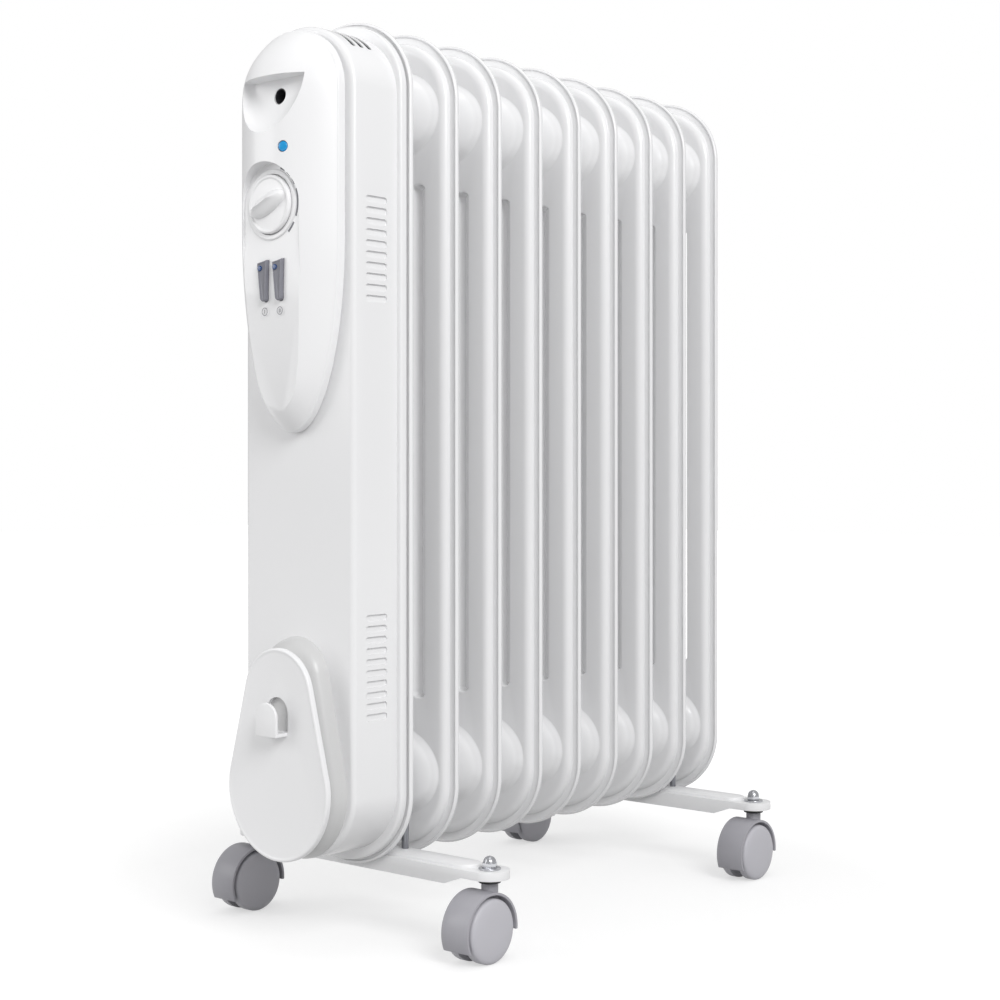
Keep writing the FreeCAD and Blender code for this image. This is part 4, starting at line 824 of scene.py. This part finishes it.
def model_lamp_and_screw():
    """The blue lamp, and a black cup, painted shade lining the screw well, with its screw at the bottom of the
    well.
    """
    lens = round_button("lamp_dome", LAMP_SEAT.x, LAMP_SEAT.z, 3.45, LAMP_SEAT.y - 0.9 * MM, 8 * MM)
    turn_all(-LAMP_TURN, "Z", LAMP_SEAT)
    finished(lens, "moulded_lens_blue", ["lamp_lens"], degrees=40)
    # painted shade: the black cup lining the screw well stands in for the shade inside it; the screw at its bottom
    # is black oxide of its own
    screw = disc("panel_screw_plug", (SCREW_X, FACE_Y - 5.5 * MM, SCREW_Z), 5.4 * MM, 40)
    extrude(-10.8 * MM)
    follow([(0.5, 0)])
    extrude(9.3 * MM)
    follow([(0.8, 0.1), (1.0, 0.9), (1.5, 1.5), (2.2, 1.8)])
    close()
    finished(screw, "black_oxide_steel", ["panel_screw"])


# ---- cord spool
CLIP_HALF = 10.4 * MM


def model_cord_spool():
    """The spool: a concave neck on the housing, a teardrop plate and its bent clip."""
    plate_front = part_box("cord_winder_plate")[0].y
    neck_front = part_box("cord_winder_neck")[0].y
    neck = teardrop_face("cord_spool_neck", 46.5, 108, 30, 180.7, FACE_Y)
    follow([(0.3, 1), (0.8, 3), (1.6, 6), (3, 8.5), (5.5, 10.5), (8.5, 12.5), (10.5, 14.5), (11, 16.3)])
    close()
    # painted shade: the neck's grey finish stands in for the shade under the plate
    finished(neck, "moulded_abs_greyed", ["cord_winder_neck"], degrees=40)
    plate = teardrop_face("cord_spool_plate", 47.8, 110, 32, 172, neck_front)
    pad(2.3 * MM, quarter(1.2, 1.2, 5) + [(1.7, 1.2), (2.3, 0.9), (3.2, 0.75)])
    carve(plate, [arch_prism("clip_window", CLIP_HALF, 149 * MM, 171.6 * MM,
                             neck_front - 8 * MM, neck_front + 0.1 * MM)])
    tongue = arch_prism("clip_tongue", CLIP_HALF - 0.6 * MM, 146.2 * MM, 168.6 * MM,
                        plate_front + 0.1 * MM, plate_front + 2.3 * MM)
    foot = begin("clip_foot", "cube", size=1, location=(0, (plate_front + neck_front) / 2 - 1 * MM, 147.4 * MM),
                 scale=(2 * CLIP_HALF - 1.2 * MM, neck_front - plate_front - 2.2 * MM, 2.4 * MM))
    carve(tongue, [foot], "UNION")
    modify(tongue, "BEVEL", width=0.5 * MM, segments=3, limit_method="ANGLE", angle_limit=math.radians(35))
    finished(tongue, "moulded_abs_white")
    finished(plate, "moulded_abs_white", ["cord_winder_plate"], degrees=32)


# ---- feet and casters
def soften(node, name, width, finish, body="radiator", segments=3):
    """Finish a copy of a turned or pressed part of the frame with its edges broken, by a width in mm."""
    piece = own_copy(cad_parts[node], name)
    for key in list(piece.keys()):
        del piece[key]
    piece.parent = None
    bpy.ops.object.mode_set(mode="EDIT")
    pick_all()
    bpy.ops.mesh.remove_doubles(threshold=0.005 * MM)
    bpy.ops.mesh.dissolve_limited(angle_limit=math.radians(1))
    modify(piece, "BEVEL", width=width * MM, segments=segments, limit_method="ANGLE",
           angle_limit=math.radians(35))
    finished(piece, finish, [node], body)


def model_foot_bars():
    """Pressed foot bars with rounded edges, the U-bolts that hold them and their nuts and washers."""
    for row in ("front", "rear"):
        soften(f"foot_bracket_{row}", f"foot_bar_{row}", 1.1, "powder_coat_white")
        model_foot_rib(row)
        soften(f"ubolt_{row}", f"u_bolt_{row}", 0.3, "zinc_rolled_thread")
    for node, name, width in (("ubolt_nuts", "u_bolt_nuts", 0.35), ("stem_washers", "washers", 0.3),
                              ("dome_nuts", "cap_nuts", 0.35)):
        soften(node, name, width, "zinc_plate_bright")


def model_foot_rib(row):
    """The raised middle of a foot bar, with round ends that stop short of the cap nuts."""
    low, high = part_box(f"foot_bracket_{row}")
    half = 0.74 * (high.y - low.y) / 2
    reach = STEM_X - 10 * MM - half
    rib = disc(f"foot_rib_{row}", (0, (low.y + high.y) / 2, high.z - 0.9 * MM), half, 64, (0, 0, 0))
    for sign in (1, -1):
        pick("VERT", lambda p: p.x * sign > 1e-6)
        move(sign * reach)
    pick("FACE")
    extrude(0, 1.1 * MM)
    follow([(0.3, 0.6), (0.8, 1.0), (1.5, 1.2)])
    close()
    finished(rib, "powder_coat_white")


def model_casters():
    """Twin-wheel casters: hood, collar, and two crowned wheels each."""
    right = model_wheel()
    left = mirror(twin(right, "wheel_master"))
    for place in CASTERS:
        soften(f"caster_hood_{place}", f"hood_{place}", 0.5, "moulded_nylon_grey",
               f"caster_{place}", 2)
        soften(f"caster_stem_{place}", f"stem_{place}", 0.5, "moulded_nylon_black")
        for kind in ("outer", "inner"):
            node = f"wheel_{kind}_{place}"
            low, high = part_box(node)
            middle = middle_of(node)
            master, inner_x = (right, low.x) if middle.x > math.copysign(STEM_X, middle.x) else (left, high.x)
            wheel = twin(master, f"{node}_disc", inner_x, middle.y, middle.z)
            finished(wheel, "moulded_nylon_pale", [node], node)
    for master in (right, left):
        bpy.data.objects.remove(master)


def model_wheel():
    """One wheel from its profile, its face to the right: flat tread, rounded shoulder, crowned disc."""
    low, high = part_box("wheel_outer_front_right")
    wheel = disc("wheel_master", (0, 0, 0), (high.z - low.z) / 2, 72, (0, math.pi / 2, 0))
    follow([(0, 0.6), (0, 5.2), (0.2, 6.0), (0.6, 6.6), (1.2, 7.1), (2.0, 7.6), (3.2, 8.0),
            (6.5, 8.6), (10.5, 8.9), (14.5, 9.0)])
    close()
    return wheel


# ---- inside
def model_inner_parts():
    """Give the parts inside the housing, and the axles, their finishes."""
    finishes = {
        "zinc_plate_bright": ["thermostat_shaft"] + [f"caster_axle_{place}" for place in CASTERS],
        "rolled_sheet_steel": ["thermal_cutout", "element_flange", "heating_element"],
        "moulded_nylon_black": ["thermostat_body", "switch_body_low", "switch_body_high", "lamp_holder",
                                "terminal_block", "tilt_switch_case", "tilt_switch_pendulum", "cable_gland"],
        "stove_enamel_white": ["header_plugs"],
    }
    for finish, nodes in finishes.items():
        for node in nodes:
            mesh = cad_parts[node].data
            mesh.materials.clear()
            mesh.materials.append(material(finish))


# ---- stage
AIR_LIGHT = 0.58  # strength of the world's even light on the object
# name, place, target, size in metres and power in watts
LAMPS = (("key_lamp", (2.0, -1.1, 1.7), (0, 0, 0.35), 1.3, 40),
         ("fill_lamp", (-1.7, -2.0, 1.2), (0, 0, 0.3), 1.6, 16),
         ("top_lamp", (0.1, -0.1, 2.6), (0, 0, 0.4), 1.4, 5))


def add_lamp(name, place, target, size, power):
    bpy.ops.object.light_add(type="AREA", location=place)
    light = bpy.context.object
    light.name = name
    light.data.shape = "DISK"
    light.data.size = size
    light.data.energy = power
    aim = Vector(target) - Vector(place)
    light.rotation_euler = aim.to_track_quat("-Z", "Y").to_euler()


def seen_ray(tree, *kinds):
    """One where the ray is of one of these kinds, else nothing."""
    path = add_node(tree, "ShaderNodeLightPath")
    seen = path.outputs[kinds[0]]
    for kind in kinds[1:]:
        seen = add_node(tree, "ShaderNodeMath", {0: seen, 1: path.outputs[kind]}, operation="MAXIMUM")
    return seen


def model_floor():
    """Pale matt paper that keeps the shadows, with a glow seen by camera and glossy rays that is weaker near the
    object, as painted shade round it, and goes over to plain white away from it.
    """
    floor = begin("studio_floor", "plane", size=14)
    leave_edit()
    paper = bpy.data.materials.new("studio_paper_white")
    tree = empty_tree(paper)
    place = add_node(tree, "ShaderNodeTexCoord").outputs["Object"]
    fibre = add_node(tree, "ShaderNodeTexNoise", {"Vector": place, "Scale": 1 / (8 * MM), "Detail": 4})
    tint = add_node(tree, "ShaderNodeMix", {"Factor": fibre, TINT_A: linear("#B6B6B6"),
                                            TINT_B: linear("#BABABA")}, data_type="RGBA")
    matte = add_node(tree, "ShaderNodeBsdfDiffuse", {"Color": tint.outputs[TINT_OUT]})
    seen = seen_ray(tree, "Is Camera Ray", "Is Glossy Ray", "Is Transmission Ray")
    # painted shade: the glow rises with distance from the object, so the floor round the object is darker than
    # farther off
    reach = add_node(tree, "ShaderNodeVectorMath", {0: place}, operation="LENGTH").outputs["Value"]
    rise = add_node(tree, "ShaderNodeMapRange", {"Value": reach, "From Min": 0.3, "From Max": 1.0,
                                                 "To Min": 0.56, "To Max": 1.0})
    level = add_node(tree, "ShaderNodeMath", {0: seen, 1: rise}, operation="MULTIPLY")
    glow = add_node(tree, "ShaderNodeEmission", {"Strength": level})
    both = add_node(tree, "ShaderNodeAddShader", {0: matte, 1: glow})
    add_node(tree, "ShaderNodeOutputMaterial", {"Surface": both})
    floor.data.materials.append(paper)


def model_air():
    """Even light from all round, seen as plain white."""
    world = bpy.context.scene.world or bpy.data.worlds.new("studio_air")
    bpy.context.scene.world = world
    tree = empty_tree(world)
    seen = seen_ray(tree, "Is Camera Ray", "Is Transmission Ray")
    air = add_node(tree, "ShaderNodeBackground", {"Color": (1, 1, 1, 1), "Strength": AIR_LIGHT})
    white = add_node(tree, "ShaderNodeBackground", {"Color": (1, 1, 1, 1)})
    mixed = add_node(tree, "ShaderNodeMixShader", {0: seen, 1: air, 2: white})
    add_node(tree, "ShaderNodeOutputWorld", {"Surface": mixed})


def model_stage():
    """Pale floor, white surroundings, three soft lamps and the camera."""
    model_floor()
    model_air()
    for settings in LAMPS:
        add_lamp(*settings)
    bpy.ops.object.camera_add(location=(0.8924, FIRST_Y - 0.891, 0.3229),
                              rotation=(math.radians(90), 0, math.radians(40.29)))
    camera = bpy.context.object
    camera.name = "product_camera"
    camera.data.lens = 65.36
    camera.data.shift_y = -0.0308
    bpy.context.scene.camera = camera
    bpy.context.scene.view_settings.view_transform = "Standard"


# ---- sizes, colours and operators
def size(name, description, millimetres):
    return bpy.props.FloatProperty(name=name, description=description, default=millimetres * MM,
                                   min=0, unit="LENGTH")


def colour(name, description, hex_colour):
    return bpy.props.FloatVectorProperty(name=name, description=description, size=3, subtype="COLOR",
                                         default=linear(hex_colour)[:3], min=0, max=1)


class HEATER_PG_sizes(bpy.types.PropertyGroup):
    bead: size("Rim bead", "Width of the welded rim bead", 2.5)
    flange: size("Flange", "Width of the flange with its bead", 6.8)
    tank: size("Tank", "Thickness of a section's tank", 12)
    shoulder: size("Shoulder", "Width of the tank's rounded shoulder", 6)
    housing_edge: size("Housing edge", "Round of the housing's front edge", 3.6)
    housing_wall: size("Housing wall", "Thickness of the housing's sheet", 2.2)
    louvre_length: size("Louvre length", "Length of one side louvre", 20)
    louvre_height: size("Louvre height", "Height of one side louvre", 4.5)
    louvre_pitch: size("Louvre pitch", "Distance from one side louvre to the next", 7.3)
    panel_rim: size("Panel rim", "Depth of the control panel's upright rim", 7.6)
    dial_radius: size("Dial radius", "Radius of the thermostat dial", 19.6)
    rocker_top: size("Rocker top", "Half the width of a rocker's upper end", 4.6)
    rocker_foot: size("Rocker foot", "Half the width of a rocker's lower end", 2.6)


class HEATER_PG_colours(bpy.types.PropertyGroup):
    enamel: colour("Enamel", "Stoved enamel on the sections and the housing", "#E9E9EA")
    plastic: colour("Plastic", "Control panel, dial and cord spool", "#ECECED")
    # painted shade: the neck's grey stands in for the shade that the plate casts on it
    neck: colour("Neck", "Neck of the cord spool", "#CACACA")
    powder: colour("Powder coat", "Foot bars", "#EDEDEE")
    hood: colour("Hood", "Caster hoods", "#A3A2A8")
    wheel: colour("Wheel", "Caster wheels", "#BDBCC2")
    rocker: colour("Rocker", "Rocker switches", "#7C7C84")
    black: colour("Black", "Collars, terminals and switch bodies", "#161618")
    # partly painted shade: the cup's black stands in for the shade inside the screw well; the screw's black oxide
    # is its own
    oxide: colour("Oxide", "Panel screw and its cup", "#2E2E31")
    # painted shade: the black of the fill behind the top slits stands in for the shade inside them
    gauze: colour("Gauze", "Wire gauze behind the top slits", "#121214")
    ink: colour("Ink", "Printed scale and marks", "#75757B")
    zinc: colour("Zinc", "Nuts and washers", "#C4C5C9")
    thread: colour("Thread", "U-bolts", "#8A8B90")
    steel: colour("Steel", "Heating element and fittings", "#A3A4A8")
    lens: colour("Lens", "Lamp lens", "#0093D2")
    inlay: colour("Inlay", "Marks on the rockers", "#173F74")


class HEATER_OT_oil_sections(bpy.types.Operator):
    """Press the oil sections with their header domes and air slots"""
    bl_idname = "heater.oil_sections"
    bl_label = "Oil Sections"

    def execute(self, context):
        model_oil_sections(context.scene.heater_sizes)
        return {"FINISHED"}


class HEATER_OT_housing(bpy.types.Operator):
    """Draw the control housing and the heat shield behind it"""
    bl_idname = "heater.housing"
    bl_label = "Control Housing"

    def execute(self, context):
        model_heat_shield()
        model_housing(context.scene.heater_sizes)
        return {"FINISHED"}


class HEATER_OT_control_panel(bpy.types.Operator):
    """Mould the control panel with its strip and finger recess"""
    bl_idname = "heater.control_panel"
    bl_label = "Control Panel"

    def execute(self, context):
        model_control_panel(context.scene.heater_sizes)
        return {"FINISHED"}


class HEATER_OT_thermostat_knob(bpy.types.Operator):
    """Mould the thermostat knob and its bezel, and print the scale"""
    bl_idname = "heater.thermostat_knob"
    bl_label = "Thermostat Knob"

    def execute(self, context):
        sizes = context.scene.heater_sizes
        model_thermostat_knob(sizes)
        model_dial_bezel(sizes)
        model_prints(sizes)
        return {"FINISHED"}


class HEATER_OT_rockers(bpy.types.Operator):
    """Mould the two rocker switches"""
    bl_idname = "heater.rockers"
    bl_label = "Rockers"

    def execute(self, context):
        model_rockers(context.scene.heater_sizes)
        return {"FINISHED"}


class HEATER_OT_lamp_and_screw(bpy.types.Operator):
    """Set the lamp and the panel screw"""
    bl_idname = "heater.lamp_and_screw"
    bl_label = "Lamp and Screw"

    def execute(self, context):
        model_lamp_and_screw()
        return {"FINISHED"}


class HEATER_OT_cord_spool(bpy.types.Operator):
    """Mould the cord spool with its clip"""
    bl_idname = "heater.cord_spool"
    bl_label = "Cord Spool"

    def execute(self, context):
        model_cord_spool()
        return {"FINISHED"}


class HEATER_OT_foot_bars(bpy.types.Operator):
    """Press the foot bars and fit their bolts and nuts"""
    bl_idname = "heater.foot_bars"
    bl_label = "Foot Bars"

    def execute(self, context):
        model_foot_bars()
        return {"FINISHED"}


class HEATER_OT_casters(bpy.types.Operator):
    """Mould the twin-wheel casters"""
    bl_idname = "heater.casters"
    bl_label = "Casters"

    def execute(self, context):
        model_casters()
        return {"FINISHED"}


class HEATER_OT_inner_parts(bpy.types.Operator):
    """Finish the parts inside the housing"""
    bl_idname = "heater.inner_parts"
    bl_label = "Inner Parts"

    def execute(self, context):
        model_inner_parts()
        return {"FINISHED"}


class HEATER_OT_stage(bpy.types.Operator):
    """Set the floor, the lamps and the camera"""
    bl_idname = "heater.stage"
    bl_label = "Stage"

    def execute(self, context):
        model_stage()
        return {"FINISHED"}


STEPS = (HEATER_OT_oil_sections, HEATER_OT_housing, HEATER_OT_control_panel, HEATER_OT_thermostat_knob,
         HEATER_OT_rockers, HEATER_OT_lamp_and_screw, HEATER_OT_cord_spool, HEATER_OT_foot_bars,
         HEATER_OT_casters, HEATER_OT_inner_parts, HEATER_OT_stage)


class HEATER_PT_pieces(bpy.types.Panel):
    bl_idname = "HEATER_PT_pieces"
    bl_label = "Oil Radiator Heater"
    bl_space_type = "VIEW_3D"
    bl_region_type = "UI"
    bl_category = "Heater"

    def draw(self, context):
        for group in (context.scene.heater_sizes, context.scene.heater_colours):
            for name in type(group).__annotations__:
                self.layout.prop(group, name)
        for step in STEPS:
            self.layout.operator(step.bl_idname)


CLASSES = (HEATER_PG_sizes, HEATER_PG_colours, *STEPS, HEATER_PT_pieces)


def register():
    for item in CLASSES:
        bpy.utils.register_class(item)
    bpy.types.Scene.heater_sizes = bpy.props.PointerProperty(type=HEATER_PG_sizes)
    bpy.types.Scene.heater_colours = bpy.props.PointerProperty(type=HEATER_PG_colours)


def unregister():
    del bpy.types.Scene.heater_colours
    del bpy.types.Scene.heater_sizes
    for item in reversed(CLASSES):
        bpy.utils.unregister_class(item)


def main():
    """Model every piece in order."""
    register()
    for step in STEPS:
        group, name = step.bl_idname.split(".")
        getattr(getattr(bpy.ops, group), name)()
    bpy.context.view_layer.update()


if __name__ == "__main__":
    main()
